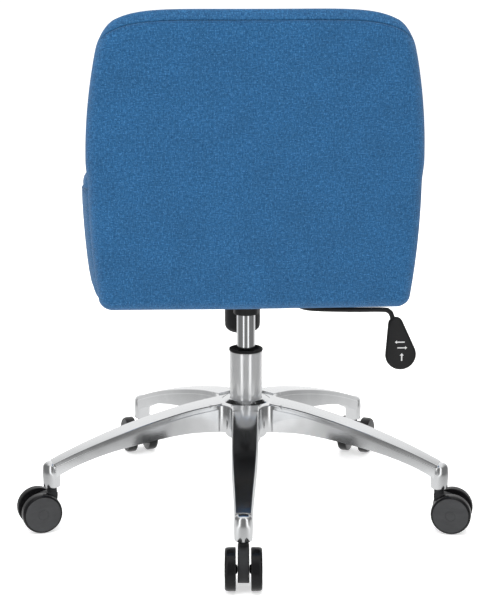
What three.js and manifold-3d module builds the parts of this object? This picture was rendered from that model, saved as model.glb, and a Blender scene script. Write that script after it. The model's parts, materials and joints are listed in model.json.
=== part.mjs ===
// Swivel office chair: an upholstered low-back tub seat with short sloping arms, on a
// tilting mechanism, a gas lift, a five-star cast base and five twin-wheel casters.
//
// Millimetres, +Z up, the chair faces -Y. The origin is on the floor at the centre of
// the chair's footprint box; the swivel axis stands beside it, at SWIVEL_AXIS.
// Inside the chair group every size is measured from the swivel axis.

import * as THREE from "three";
import { mergeVertices } from "three/addons/utils/BufferGeometryUtils.js";
import Module from "manifold-3d";

// ---------------------------------------------------------------- driving dimensions
const GAP = 0.35; // left between pieces that touch
const SWIVEL_AXIS = [-6.5, -21.4];

// Five-star base
const BASE_TURN = 3.85; // degrees that the rear leg stands off the seat's back
const LEGS = 5;
const STEM_CIRCLE = 305; // radius of the caster stems
const LEG_WALL = 4;
const CROTCH_RADIUS = 21; // fillet between two legs
const LEG_ROOT = 57; // where the legs leave the hub casting
const LEG_ROOT_HALF = 20;
const HUB_RADIUS = 31;
const HUB_TOP = 178;
const HUB_BOTTOM = 117;
const HUB_BORE = 24.2;
const HUB_BORE_BOTTOM = 23.2;
const SOCKET_RADIUS = 12.5;
const SOCKET_BOTTOM = 64.5;
const SOCKET_BORE = 5.4;
const SOCKET_TOP = 103.4;
const STEM_TOP = 94.5;
const CROWN_BOTTOM = 130.5; // of the webs that join the leg roots
const CROWN_TOP = 174.4;
const RIM = { radius: 38, bottom: 167 }; // raised plate round the column
// Leg stations from hub to tip: radius, underside, top, half-width at the top
const LEG_STATIONS = [
  [44, 130.5, 175.5, 21],
  [90, 132.4, 169, 19.4],
  [135, 128.5, 159.4, 18.8],
  [180, 121.4, 147.8, 18],
  [222, 112.4, 135, 16.2],
  [262, 99.6, 120.8, 13.8],
  [288, 88, 110.4, 12.4],
  [304, 79, 103.6, 11.6],
];

// Gas lift
const TUBE_RADIUS = 25;
const TUBE_TOP = 251;
const TUBE_BOTTOM = 79;
const TUBE_BORE = 22.6;
const PISTON_RADIUS = 14; // the polished pressure tube
const PRESSURE_TUBE_BOTTOM = 153;
const PRESSURE_TUBE_TOP = 344;
const ROD_RADIUS = 5;
const ROD_TOP = 279;
const ROD_BOTTOM = 73;
const TUBE_NECK = 17; // outside radius of the stand tube's closed foot
const FOOT_CAVITY = { radius: 14.8, bottom: 84, top: 99 };
const BUSH_BOTTOM = 183;
const WASHER_RADIUS = 14.2;
const LIFT_PISTON = { bottom: 265, top: 275 };
const CLIP = { radius: 9, bottom: 75.5 };

// Tilt mechanism
const SLEEVE_BOTTOM = 309;
const SLEEVE_TOP = 343;
const HOUSING_BOTTOM = 325.5;
const HOUSING_TOP = 348;
const HOUSING_HALF_WIDTH = 55;
const HOUSING_FRONT = -132;
const HOUSING_REAR = 34;
const SHEET = 3; // pressed steel thickness
const TILT_PIN = { y: -38, z: 337, radius: 5 };
const ANCHOR_PIN = { y: -100, z: 339, radius: 4 };
const PLATE_TOP = 373.7;
const PLATE = { halfWidth: 92, front: -128, rear: 96 };
const BOLT_PATTERN = { x: 74, front: -108, rear: 76 };
const SEAT_BOLT_RADIUS = 4;

// Tension adjuster under the front of the mechanism
const KNOB = { radius: 28, bottom: 256, top: 302, edge: 9 };
const BOLT_RADIUS = 5;
const SPRING = { radius: 15, wire: 1.7, bottom: 275, turns: 5 };

// Height and lock lever, on the sitter's right
const LEVER = { y: 18, wallZ: 337, radius: 3.75, fingerZ: 355.5, bend: -219 };
const LEVER_BUSH = { inner: 4.5, outer: 7.4, halfLength: 4.5 };
const PADDLE = { top: 305, bottom: 225, inner: -211.5, outer: -259, thickness: 9 };

// Upholstery. The tub's outline from behind narrows below LOWER_TAPER.from and above
// UPPER_TAPER.from, and its corners are rounded.
const SHELL_BOTTOM = 371.5;
const BACK_TOP = 780;
const TUB_HALF_WIDTH = 227.5;
const LOWER_TAPER = { from: 547, inset: 13 };
const UPPER_TAPER = { from: 577, inset: 30 };
const TOP_CORNER = { drop: 41, power: 6, root: 0.45 };
const BACK_FACE_Y = 242.3; // the back's outer face at its bottom edge
const RECLINE = 0.105; // the outer face moves this much to the rear for each mm up
const SHELL_THICKNESS = 48;
const BACK_PAD = { bottom: 465, top: 764, thickness: 50, halfLow: 186, halfHigh: 203 };
const WING = { thickness: 40, front: -228, half: 240, pull: 8, topRear: 556, topFront: 473 };
const PAN = { top: 386, bottom: 374, halfWidth: 184, front: -246, rear: 188 };
const CUSHION = { top: 457, crown: 6, front: -262, rear: 190 };

// Casters
const WHEEL_RADIUS = 30;
const WHEEL_INNER = 10.4; // faces of a wheel, from the caster's middle plane
const WHEEL_OUTER = 26;
const CASTER_BODY_HALF = 8;
const TRAIL = 20;
const AXLE_RADIUS = 4;
const STEM_RADIUS = 5;
const STEM_BOTTOM = 38;
const NECK_RADIUS = 7.4; // of the caster body round its stem
// Where each caster points at rest, in degrees from its own leg's outward direction
const CASTER_HEADINGS = [1, 7, 17, -15, 3];

// ------------------------------------------------------------------------- materials
const COLOURS = {
  fabric: [0x34689a, 0.95, 0],
  liner: [0x16171a, 0.95, 0],
  plywood: [0xb08a5a, 0.7, 0],
  castAluminium: [0xb9bcbf, 0.35, 1],
  chrome: [0xd8dadd, 0.12, 1],
  satinChrome: [0xc8cacc, 0.3, 1],
  blackSteel: [0x141414, 0.45, 0.4],
  zinc: [0x9ea3a8, 0.4, 1],
  springSteel: [0x4b4d50, 0.4, 1],
  blackPlastic: [0x141416, 0.5, 0],
  glossPlastic: [0x0c0c0d, 0.2, 0],
  nylon: [0x232427, 0.6, 0],
};

function material(name) {
  const [color, roughness, metalness] = COLOURS[name];
  return new THREE.MeshStandardMaterial({ color, roughness, metalness });
}

// --------------------------------------------------------------------- solid helpers
const wasm = await Module();
wasm.setup();

// A closed three.js geometry as a solid that can be joined and cut.
function solid(geometry) {
  const bare = new THREE.BufferGeometry();
  const source = geometry.index ? geometry.toNonIndexed() : geometry;
  bare.setAttribute("position", source.getAttribute("position"));
  const merged = mergeVertices(bare, 1e-3);
  return new wasm.Manifold(
    new wasm.Mesh({
      numProp: 3,
      vertProperties: merged.attributes.position.array,
      triVerts: new Uint32Array(merged.index.array),
    }),
  );
}

function geometryOf(body) {
  const mesh = body.getMesh();
  const geometry = new THREE.BufferGeometry();
  geometry.setAttribute("position", new THREE.BufferAttribute(mesh.vertProperties, 3));
  geometry.setIndex(new THREE.BufferAttribute(mesh.triVerts, 1));
  const faceted = geometry.toNonIndexed();
  faceted.computeVertexNormals();
  return faceted;
}

const join = (first, ...rest) => rest.reduce((body, next) => body.add(next), first);
const cut = (first, ...rest) => rest.reduce((body, next) => body.subtract(next), first);

function piece(name, finish, shape) {
  const geometry = shape.isBufferGeometry ? shape : geometryOf(shape);
  const mesh = new THREE.Mesh(geometry, material(finish));
  mesh.name = name;
  return mesh;
}

function group(...children) {
  const made = new THREE.Group();
  made.add(...children);
  return made;
}

// A body of revolution about Z from (radius, z) points going up the outside.
function turned(points, segments = 24) {
  const profile = points.map(([r, z]) => new THREE.Vector2(r, z));
  return new THREE.LatheGeometry(profile, segments).rotateX(Math.PI / 2);
}

// A ring of revolution: the (radius, z) points run anticlockwise round the section.
function ring(points, segments = 24) {
  return turned([...points, points[0]], segments);
}

function disc(radius, bottom, top, segments = 24) {
  const height = top - bottom;
  const made = new THREE.CylinderGeometry(radius, radius, height, segments);
  return made.rotateX(Math.PI / 2).translate(0, 0, bottom + height / 2);
}

// A round bar along X between two x positions.
function barX(radius, from, to, segments = 16) {
  return disc(radius, from, to, segments).rotateY(Math.PI / 2);
}

// An outline drawn in (x, y), raised along Z.
function plate(outline, bottom, top, curveSegments = 8) {
  const settings = { depth: top - bottom, bevelEnabled: false, curveSegments };
  return new THREE.ExtrudeGeometry(outline, settings).translate(0, 0, bottom);
}

function roundedOutline(x0, y0, x1, y1, radius) {
  const shape = new THREE.Shape();
  shape.moveTo(x0 + radius, y0);
  shape.lineTo(x1 - radius, y0);
  shape.absarc(x1 - radius, y0 + radius, radius, -Math.PI / 2, 0);
  shape.lineTo(x1, y1 - radius);
  shape.absarc(x1 - radius, y1 - radius, radius, 0, Math.PI / 2);
  shape.lineTo(x0 + radius, y1);
  shape.absarc(x0 + radius, y1 - radius, radius, Math.PI / 2, Math.PI);
  shape.lineTo(x0, y0 + radius);
  shape.absarc(x0 + radius, y0 + radius, radius, Math.PI, 1.5 * Math.PI);
  return shape;
}

// A solid skinned over closed rings of equal length, capped flat at both ends.
function loft(rings) {
  const count = rings[0].length;
  const positions = [];
  const add = (...corners) => corners.forEach((p) => positions.push(...p));
  const middle = (points) => [0, 1, 2].map((k) => {
    return points.reduce((sum, p) => sum + p[k], 0) / count;
  });
  for (let i = 0; i < count; i += 1) {
    const j = (i + 1) % count;
    for (let s = 0; s + 1 < rings.length; s += 1) {
      const [a, b] = [rings[s], rings[s + 1]];
      add(a[i], a[j], b[j]);
      add(a[i], b[j], b[i]);
    }
    add(middle(rings[0]), rings[0][j], rings[0][i]);
    add(middle(rings.at(-1)), rings.at(-1)[i], rings.at(-1)[j]);
  }
  const geometry = new THREE.BufferGeometry();
  geometry.setAttribute("position", new THREE.Float32BufferAttribute(positions, 3));
  return geometry;
}

// A round bar swept along a smooth path through points.
function sweptBar(points, radius, steps, sides = 10, tension = 0.5) {
  const vectors = points.map((p) => new THREE.Vector3(...p));
  const path = new THREE.CatmullRomCurve3(vectors, false, "catmullrom", tension);
  const section = new THREE.Shape();
  for (let i = 0; i < sides; i += 1) {
    const angle = (2 * Math.PI * i) / sides;
    const point = [radius * Math.cos(angle), radius * Math.sin(angle)];
    if (i === 0) section.moveTo(...point);
    else section.lineTo(...point);
  }
  section.closePath();
  const settings = { steps, bevelEnabled: false, extrudePath: path };
  return new THREE.ExtrudeGeometry(section, settings);
}

// Cuts one side of a rounded block into cells: fine over the rounding, even between.
function gridLines(half, radius, spans) {
  const low = [0, 0.3, 0.7].map((part) => radius * part - half);
  const high = low.map((value) => -value).reverse();
  const flat = Array.from({ length: spans + 1 }, (_, i) => {
    return (half - radius) * ((2 * i) / spans - 1);
  });
  return [...low, ...flat, ...high];
}

// A box with rounded edges, whose every vertex is then moved by place(x, y, z).
function softBlock(size, radius, spans, place) {
  const half = size.map((value) => value / 2);
  const lines = half.map((value, k) => gridLines(value, radius[k], spans[k]));
  const cells = lines.map((line) => line.length - 1);
  const box = new THREE.BoxGeometry(...cells, ...cells);
  const position = box.getAttribute("position");
  for (let i = 0; i < position.count; i += 1) {
    const raw = lines.map((line, k) => {
      return line[Math.round(position.getComponent(i, k) + cells[k] / 2)];
    });
    const core = raw.map((value, k) => {
      return THREE.MathUtils.clamp(value, radius[k] - half[k], half[k] - radius[k]);
    });
    const out = raw.map((value, k) => (value - core[k]) / radius[k]);
    const length = Math.hypot(...out);
    const rounded = core.map((value, k) => value + (out[k] / length) * radius[k]);
    position.setXYZ(i, ...place(...rounded));
  }
  return box;
}

// -------------------------------------------------------------------- five-star base
function legSection([r, underside, top, half]) {
  // Up one side past its crease, over the flat top, and down the other side.
  const foot = half + 1.2;
  const crease = half + 0.8;
  return [
    [r, foot, underside],
    [r, crease, top - 7],
    [r, half - 1, top],
    [r, 1 - half, top],
    [r, -crease, top - 7],
    [r, -foot, underside],
  ];
}

// The hollow under a leg, open downwards and closed at both ends.
function legHollowSection([r, underside, top, half]) {
  const inner = half + 1 - LEG_WALL;
  return [
    [r, inner, underside - 8],
    [r, inner - 1, top - LEG_WALL - 1.5],
    [r, 1 - inner, top - LEG_WALL - 1.5],
    [r, -inner, underside - 8],
  ];
}

function legBody() {
  return solid(loft(LEG_STATIONS.map(legSection)));
}

function legHollow() {
  const stations = LEG_STATIONS.filter(([r]) => r > 60 && r < 285);
  return solid(loft(stations.map(legHollowSection)));
}

// The plan of the hub casting: five leg roots joined by round crotches.
function hubOutline() {
  const shape = new THREE.Shape();
  const half = Math.PI / LEGS;
  const centre = (LEG_ROOT_HALF + CROTCH_RADIUS) / Math.sin(half);
  const reach = LEG_ROOT + 6;
  for (let k = 0; k < LEGS; k += 1) {
    const leg = 2 * half * k;
    const corner = (across) => {
      const [c, s] = [Math.cos(leg), Math.sin(leg)];
      return [reach * c - across * s, reach * s + across * c];
    };
    if (k === 0) shape.moveTo(...corner(-LEG_ROOT_HALF));
    else shape.lineTo(...corner(-LEG_ROOT_HALF));
    shape.lineTo(...corner(LEG_ROOT_HALF));
    const bisector = leg + half;
    const [x, y] = [centre * Math.cos(bisector), centre * Math.sin(bisector)];
    const from = leg - Math.PI / 2;
    const to = leg + 2 * half + Math.PI / 2;
    shape.absarc(x, y, CROTCH_RADIUS, from, to - 2 * Math.PI, true);
  }
  shape.closePath();
  return shape;
}

function starBase() {
  const turn = (body, k) => body.rotate([0, 0, 90 + (360 / LEGS) * k]);
  const legs = Array.from({ length: LEGS }, (_, k) => turn(legBody(), k));
  const hollows = Array.from({ length: LEGS }, (_, k) => turn(legHollow(), k));
  const webs = solid(plate(hubOutline(), CROWN_BOTTOM, CROWN_TOP, 6)).rotate([0, 0, 90]);
  const boss = solid(disc(HUB_RADIUS, HUB_BOTTOM, HUB_TOP - 1));
  const rim = solid(
    turned([
      [0, RIM.bottom],
      [RIM.radius, RIM.bottom],
      [RIM.radius, HUB_TOP - 1.6],
      [RIM.radius - 2, HUB_TOP],
      [0, HUB_TOP],
    ]),
  );
  const socket = solid(
    turned(
      [
        [0, SOCKET_BOTTOM],
        [SOCKET_RADIUS - 1.5, SOCKET_BOTTOM],
        [SOCKET_RADIUS, SOCKET_BOTTOM + 1.5],
        [SOCKET_RADIUS + 0.8, SOCKET_TOP - 16.4],
        [SOCKET_RADIUS - 0.4, SOCKET_TOP - 4.4],
        [SOCKET_RADIUS - 5, SOCKET_TOP - 0.6],
        [0, SOCKET_TOP],
      ],
      20,
    ),
  ).translate([STEM_CIRCLE, 0, 0]);
  const stemBore = solid(disc(SOCKET_BORE, SOCKET_BOTTOM - 1, STEM_TOP + 1.5, 12));
  const placed = stemBore.translate([STEM_CIRCLE, 0, 0]);
  const bores = Array.from({ length: LEGS }, (_, k) => turn(placed, k));
  const sockets = Array.from({ length: LEGS }, (_, k) => turn(socket, k));
  const taper = solid(
    turned([
      [0, HUB_BOTTOM - 1],
      [HUB_BORE_BOTTOM, HUB_BOTTOM - 1],
      [HUB_BORE, HUB_TOP + 1],
      [0, HUB_TOP + 1],
    ]),
  );
  const casting = join(webs, boss, rim, ...legs, ...sockets);
  return piece("star_base", "castAluminium", cut(casting, ...hollows, ...bores, taper));
}

// -------------------------------------------------------------------------- gas lift
function standTube() {
  const cavity = FOOT_CAVITY;
  return ring([
    [ROD_RADIUS + GAP, TUBE_BOTTOM],
    [TUBE_NECK - 1.5, TUBE_BOTTOM],
    [TUBE_NECK, TUBE_BOTTOM + 1.5],
    [TUBE_NECK, cavity.top],
    [22.4, cavity.top + 10],
    [HUB_BORE_BOTTOM - GAP, HUB_BOTTOM],
    [HUB_BORE - GAP, HUB_TOP],
    [HUB_BORE - GAP, HUB_TOP + 2.4],
    [TUBE_RADIUS, HUB_TOP + 2.6],
    [TUBE_RADIUS, TUBE_TOP],
    [TUBE_BORE, TUBE_TOP],
    [TUBE_BORE, HUB_TOP],
    [20.6, cavity.top + 12],
    [cavity.radius, cavity.top],
    [cavity.radius, cavity.bottom],
    [ROD_RADIUS + GAP, cavity.bottom],
  ]);
}

function columnCollar() {
  return ring([
    [PISTON_RADIUS + 1, TUBE_TOP + GAP],
    [TUBE_RADIUS + 0.9, TUBE_TOP + GAP],
    [TUBE_RADIUS + 0.9, TUBE_TOP + 2.6],
    [TUBE_RADIUS, TUBE_TOP + 3.4],
    [PISTON_RADIUS + 6.5, TUBE_TOP + 3.4],
    [PISTON_RADIUS + 2.5, TUBE_TOP + 1.4],
    [PISTON_RADIUS + 1, TUBE_TOP + 1.4],
  ]);
}

function guideBush() {
  return ring(
    [
      [PISTON_RADIUS + GAP, BUSH_BOTTOM],
      [TUBE_BORE - GAP, BUSH_BOTTOM],
      [TUBE_BORE - GAP, TUBE_TOP - 1],
      [PISTON_RADIUS + GAP, TUBE_TOP - 1],
    ],
    24,
  );
}

// A flat ring round the piston rod.
function washer(name, finish, outer, bottom, top) {
  const inner = ROD_RADIUS + GAP;
  const section = [
    [inner, bottom],
    [outer, bottom],
    [outer, top],
    [inner, top],
  ];
  return piece(name, finish, ring(section, 24));
}

function pressureTube() {
  const bore = PISTON_RADIUS - 1.8;
  return ring([
    [ROD_RADIUS + GAP, PRESSURE_TUBE_BOTTOM],
    [PISTON_RADIUS - 1, PRESSURE_TUBE_BOTTOM],
    [PISTON_RADIUS, PRESSURE_TUBE_BOTTOM + 1],
    [PISTON_RADIUS, SLEEVE_BOTTOM],
    [PISTON_RADIUS - 0.8, PRESSURE_TUBE_TOP],
    [3.4, PRESSURE_TUBE_TOP],
    [3.4, PRESSURE_TUBE_TOP - 14],
    [bore, PRESSURE_TUBE_TOP - 14],
    [bore, PRESSURE_TUBE_BOTTOM + 12],
    [ROD_RADIUS + GAP, PRESSURE_TUBE_BOTTOM + 12],
  ]);
}

// -------------------------------------------------------------------- tilt mechanism
function taperSleeve() {
  return ring([
    [PISTON_RADIUS + GAP, SLEEVE_BOTTOM],
    [18, SLEEVE_BOTTOM],
    [19, SLEEVE_BOTTOM + 1],
    [19, SLEEVE_TOP],
    [PISTON_RADIUS - 0.8 + GAP, SLEEVE_TOP],
  ]);
}

// A pressed tray that is open on top, with a lip round the taper sleeve.
function mechanismHousing() {
  const [w, front, rear] = [HOUSING_HALF_WIDTH, HOUSING_FRONT, HOUSING_REAR];
  const outer = plate(roundedOutline(-w, front, w, rear, 14), HOUSING_BOTTOM, HOUSING_TOP, 5);
  const inside = roundedOutline(SHEET - w, front + SHEET, w - SHEET, rear - SHEET, 11);
  const hollow = plate(inside, HOUSING_BOTTOM + SHEET, HOUSING_TOP + 1, 5);
  const sleeveHole = disc(19 + GAP, HOUSING_BOTTOM - 1, HOUSING_TOP);
  const boltHole = disc(7.6, HOUSING_BOTTOM - 1, HOUSING_TOP, 24);
  const pinHole = barX(TILT_PIN.radius + GAP, -w - 1, w + 1);
  const leverHole = barX(LEVER_BUSH.outer + GAP, -w - 1, 0, 24);
  return cut(
    solid(outer),
    solid(hollow),
    solid(sleeveHole),
    solid(boltHole).translate([0, ANCHOR_PIN.y + 1, 0]),
    solid(pinHole).translate([0, TILT_PIN.y, TILT_PIN.z]),
    solid(leverHole).translate([0, LEVER.y, LEVER.wallZ]),
  );
}

function tiltPin() {
  const reach = HOUSING_HALF_WIDTH + 10;
  const shank = solid(barX(TILT_PIN.radius, -reach, reach));
  const head = solid(barX(TILT_PIN.radius + 3, -reach - 3, -reach + 0.5));
  return join(shank, head).translate([0, TILT_PIN.y, TILT_PIN.z]);
}

// The small plunger on top of the gas lift that the lever presses.
function releasePin() {
  const top = LEVER.fingerZ - LEVER.radius - GAP;
  return turned([
    [0, PRESSURE_TUBE_TOP - 22],
    [3, PRESSURE_TUBE_TOP - 22],
    [3, top - 1],
    [2.2, top],
    [0, top],
  ], 16);
}

// A barrel-shaped grommet that lets the lever rock in the housing's wall.
function leverBush() {
  const { inner, outer, halfLength } = LEVER_BUSH;
  const section = ring(
    [
      [inner, -halfLength],
      [outer - 1.4, -halfLength],
      [outer, -halfLength / 3],
      [outer, halfLength / 3],
      [outer - 1.4, halfLength],
      [inner, halfLength],
    ],
    24,
  );
  const wall = SHEET / 2 - HOUSING_HALF_WIDTH;
  return section.rotateY(Math.PI / 2).translate(wall, LEVER.y, LEVER.wallZ);
}

function leverRod() {
  const { y, wallZ, fingerZ, radius, bend } = LEVER;
  const route = [
    [13, 0, fingerZ],
    [0, 0, fingerZ],
    [-16, 0.5, fingerZ],
    [-24, 9, fingerZ - 9],
    [-31, y, wallZ],
    [-37, y, wallZ],
    [-44, y, wallZ],
    [-52, y, wallZ],
    [-60, y, wallZ],
    [-67, y, wallZ],
    [-76, y, wallZ - 9],
    [-86, y, wallZ - 15.5],
    [-110, y, wallZ - 18.6],
    [-160, y, wallZ - 20.3],
    [-206, y, wallZ - 20.8],
    [-216, y, wallZ - 23.5],
    [bend - 1.5, y, wallZ - 30],
    [bend - 4.5, y, PADDLE.top - 14],
  ];
  return sweptBar(route, radius, 40, 8);
}

// A drop-shaped handle: a small round top, straight flanks and a large round foot.
function paddleOutline() {
  const { top, bottom, inner, outer } = PADDLE;
  const foot = (inner - outer) / 2;
  const head = 11.5;
  const footAt = new THREE.Vector2((inner + outer) / 2, bottom + foot * 0.86);
  const headAt = new THREE.Vector2(LEVER.bend - 7.5, top - head);
  const line = headAt.clone().sub(footAt);
  const lean = Math.atan2(line.y, line.x);
  const spread = Math.acos((foot - head) / line.length());
  const shape = new THREE.Shape();
  shape.absarc(headAt.x, headAt.y, head, lean - spread, lean + spread, false);
  shape.absarc(footAt.x, footAt.y, foot, lean + spread, lean - spread + 2 * Math.PI, false);
  shape.closePath();
  return shape;
}

function leverPaddle() {
  const bevel = 2.5;
  const settings = {
    depth: PADDLE.thickness - 2 * bevel,
    bevelThickness: bevel,
    bevelSize: bevel,
    bevelOffset: -bevel,
    bevelSegments: 2,
    curveSegments: 8,
  };
  const flat = new THREE.ExtrudeGeometry(paddleOutline(), settings);
  const depth = LEVER.y + PADDLE.thickness / 2 - bevel;
  const body = solid(flat.rotateX(Math.PI / 2).translate(0, depth, 0));
  const socket = [
    [LEVER.bend - 1, LEVER.y, LEVER.wallZ - 28],
    [LEVER.bend - 2, LEVER.y, LEVER.wallZ - 32],
    [LEVER.bend - 4.5, LEVER.y, PADDLE.top - 14.5],
  ];
  return cut(body, solid(sweptBar(socket, LEVER.radius + GAP + 0.2, 6, 8)));
}

// ------------------------------------------------------------------- tension adjuster
function tensionBolt() {
  const { y, z, radius } = ANCHOR_PIN;
  const shank = solid(disc(BOLT_RADIUS, KNOB.bottom + 5, z - 6, 16));
  const eye = solid(barX(8.5, -6, 6, 24)).translate([0, 0, z]);
  const hole = solid(barX(radius + GAP, -7, 7, 20)).translate([0, 0, z]);
  return cut(join(shank, eye), hole).translate([0, y, 0]);
}

function springCup() {
  return ring(
    [
      [BOLT_RADIUS + GAP, SPRING.bottom - 7],
      [19, SPRING.bottom - 7],
      [19, SPRING.bottom - GAP - SPRING.wire],
      [10.5, SPRING.bottom - GAP - SPRING.wire],
      [9.5, SPRING.bottom + 4],
      [BOLT_RADIUS + GAP, SPRING.bottom + 4],
    ],
    24,
  );
}

// A deep cup with a threaded middle, which hides the lower end of the spring.
function tensionKnob() {
  const { radius, bottom, top, edge } = KNOB;
  const floor = SPRING.bottom - 7 - GAP;
  return ring([
    [BOLT_RADIUS + GAP, bottom + 3],
    [9, bottom + 3],
    [12, bottom],
    [radius - edge, bottom],
    [radius - edge / 3, bottom + edge / 4],
    [radius - 0.6, bottom + edge],
    [radius, top - 2],
    [radius - 1, top],
    [radius - 4, top],
    [radius - 5, floor],
    [BOLT_RADIUS + GAP, floor],
  ]);
}

function tensionSpring() {
  const { radius, wire, bottom, turns } = SPRING;
  const height = HOUSING_BOTTOM - GAP - wire - bottom;
  const perTurn = 12;
  const points = Array.from({ length: turns * perTurn + 1 }, (_, i) => {
    const angle = (2 * Math.PI * i) / perTurn;
    const z = bottom + (height * i) / (turns * perTurn);
    return [radius * Math.cos(angle), radius * Math.sin(angle), z];
  });
  return sweptBar(points, wire, points.length - 1, 6);
}

// ------------------------------------------------------------------------------ seat
// Steel plate bolted under the seat, with ears for the tilt pin and the anchor pin.
function seatPlate() {
  const { halfWidth, front, rear } = PLATE;
  const bottom = PLATE_TOP - SHEET;
  const outline = roundedOutline(-halfWidth, front, halfWidth, rear, 12);
  const sheet = solid(plate(outline, bottom, PLATE_TOP, 5));
  const ear = (pin, width, x0) => {
    const side = new THREE.Shape();
    const drop = bottom + 1 - pin.z;
    side.moveTo(-width, drop);
    side.lineTo(-pin.radius - 5, 0);
    side.absarc(0, 0, pin.radius + 5, Math.PI, 2 * Math.PI, false);
    side.lineTo(width, drop);
    side.closePath();
    // The outline's x runs along Y and its y along Z.
    const flat = plate(side, 0, SHEET, 6).rotateX(Math.PI / 2).rotateZ(Math.PI / 2);
    return solid(flat.translate(x0, pin.y, pin.z));
  };
  const outside = HOUSING_HALF_WIDTH + 0.6;
  const tiltEars = [outside, -outside - SHEET].map((x) => ear(TILT_PIN, 26, x));
  const anchorEars = [6.6, -6.6 - SHEET].map((x) => ear(ANCHOR_PIN, 16, x));
  const bore = (pin, reach) => {
    return solid(barX(pin.radius + GAP, -reach, reach)).translate([0, pin.y, pin.z]);
  };
  const boltHole = solid(disc(SEAT_BOLT_RADIUS + GAP, bottom - 1, PLATE_TOP + 1, 16));
  const boltHoles = boltPlaces().map(([x, y]) => boltHole.translate([x, y, 0]));
  return cut(
    join(sheet, ...tiltEars, ...anchorEars),
    bore(TILT_PIN, HOUSING_HALF_WIDTH + 8),
    bore(ANCHOR_PIN, 14),
    ...boltHoles,
  );
}

function boltPlaces() {
  const { x, front, rear } = BOLT_PATTERN;
  return [
    [-x, front],
    [x, front],
    [x, rear],
    [-x, rear],
  ];
}

function anchorPin() {
  return barX(ANCHOR_PIN.radius, -12, 12).translate(0, ANCHOR_PIN.y, ANCHOR_PIN.z);
}

function seatBolt() {
  const underside = PLATE_TOP - SHEET - GAP;
  const head = solid(disc(6.5, underside - 5, underside, 6));
  const shank = solid(disc(SEAT_BOLT_RADIUS, underside - 1, PAN.top - 2, 16));
  return join(head, shank);
}

function seatPan() {
  const { top, bottom, halfWidth, front, rear } = PAN;
  const board = solid(plate(roundedOutline(-halfWidth, front, halfWidth, rear, 45), bottom, top, 6));
  const hole = solid(disc(SEAT_BOLT_RADIUS + GAP, bottom - 1, top + 1, 16));
  return cut(board, ...boltPlaces().map(([x, y]) => hole.translate([x, y, 0])));
}

// Thin cloth stapled under the pan, open round the steel plate.
function dustCover() {
  const { halfWidth, front, rear } = PAN;
  const [inset, clear] = [12, 4];
  const [x0, y0] = [inset - halfWidth, front + inset];
  const outline = roundedOutline(x0, y0, -x0, rear - inset, 36);
  const x = PLATE.halfWidth + clear;
  outline.holes.push(roundedOutline(-x, PLATE.front - clear, x, PLATE.rear + clear, 12));
  return plate(outline, PAN.bottom - GAP - 1, PAN.bottom - GAP, 5);
}

// ------------------------------------------------------------------------ upholstery
function lowerInset(z) {
  const below = Math.max(0, LOWER_TAPER.from - z) / (LOWER_TAPER.from - SHELL_BOTTOM);
  return LOWER_TAPER.inset * below * below;
}

function tubHalfWidth(z) {
  const above = Math.max(0, z - UPPER_TAPER.from) / (BACK_TOP - UPPER_TAPER.from);
  return TUB_HALF_WIDTH - lowerInset(z) - UPPER_TAPER.inset * above * above;
}

const backFace = (z) => BACK_FACE_Y + RECLINE * (z - SHELL_BOTTOM);
const smooth = (value, from, to) => THREE.MathUtils.smoothstep(value, from, to);

// How far a rounded corner has left its edge at s = -1..1 across the back.
function corner(s, { power, root }) {
  return 1 - (1 - Math.min(1, Math.abs(s)) ** power) ** root;
}

// The plan of the back is nearly flat at its bottom edge and bows slightly higher up.
const backBow = (z, s) => (3 + 12 * smooth(z, SHELL_BOTTOM, BACK_TOP)) * s * s;

function backShell() {
  const [halfX, halfY, halfZ] = [200, SHELL_THICKNESS / 2, 200];
  return softBlock([2 * halfX, 2 * halfY, 2 * halfZ], [16, 18, 16], [8, 1, 8], (x, y, z) => {
    const s = x / halfX;
    const high = BACK_TOP - TOP_CORNER.drop * corner(s, TOP_CORNER);
    const height = THREE.MathUtils.mapLinear(z, -halfZ, halfZ, SHELL_BOTTOM, high);
    const tucked = 2.5 * (1 - smooth(height, 547, 577));
    const width = tubHalfWidth(height) - tucked;
    return [s * width, backFace(height) - halfY + y - backBow(height, s), height];
  });
}

function backCushion() {
  const { bottom, top, thickness, halfLow, halfHigh } = BACK_PAD;
  const [halfX, halfY, halfZ] = [190, thickness / 2, 150];
  return softBlock([2 * halfX, 2 * halfY, 2 * halfZ], [40, 20, 36], [5, 1, 5], (x, y, z) => {
    const s = x / halfX;
    const high = top - 0.8 * TOP_CORNER.drop * corner(s, TOP_CORNER);
    const height = THREE.MathUtils.mapLinear(z, -halfZ, halfZ, bottom, high);
    const wide = smooth(height, 562, 637);
    const width = THREE.MathUtils.lerp(halfLow, halfHigh, wide) - 0.04 * Math.max(0, height - 637);
    const front = backFace(height) - SHELL_THICKNESS - 1.5 - backBow(height, s);
    return [s * width, front - halfY + y, height];
  });
}

// The outer face of the arms in plan: widest beside the sitter.
function wingOuter(y) {
  const along = (y + 10) / 210;
  return WING.half - WING.pull * along * along;
}

function wing(side) {
  const [halfX, halfY, halfZ] = [WING.thickness / 2, 210, 75];
  const size = [2 * halfX, 2 * halfY, 2 * halfZ];
  return softBlock(size, [15, 24, 16], [1, 6, 2], (x, y, z) => {
    const forward = 0.5 - y / (2 * halfY);
    const top = THREE.MathUtils.lerp(WING.topRear, WING.topFront, smooth(forward, 0.05, 1));
    const height = THREE.MathUtils.mapLinear(z, -halfZ, halfZ, SHELL_BOTTOM, top);
    const rear = backFace(height) - SHELL_THICKNESS - backBow(height, 1) - 1.5;
    const depth = THREE.MathUtils.lerp(rear, WING.front, forward);
    const inner = wingOuter(depth) - WING.thickness;
    const outer = wingOuter(depth) - lowerInset(height);
    const across = THREE.MathUtils.mapLinear(side * x, -halfX, halfX, inner, outer);
    return [side * across, depth, height];
  });
}

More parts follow.
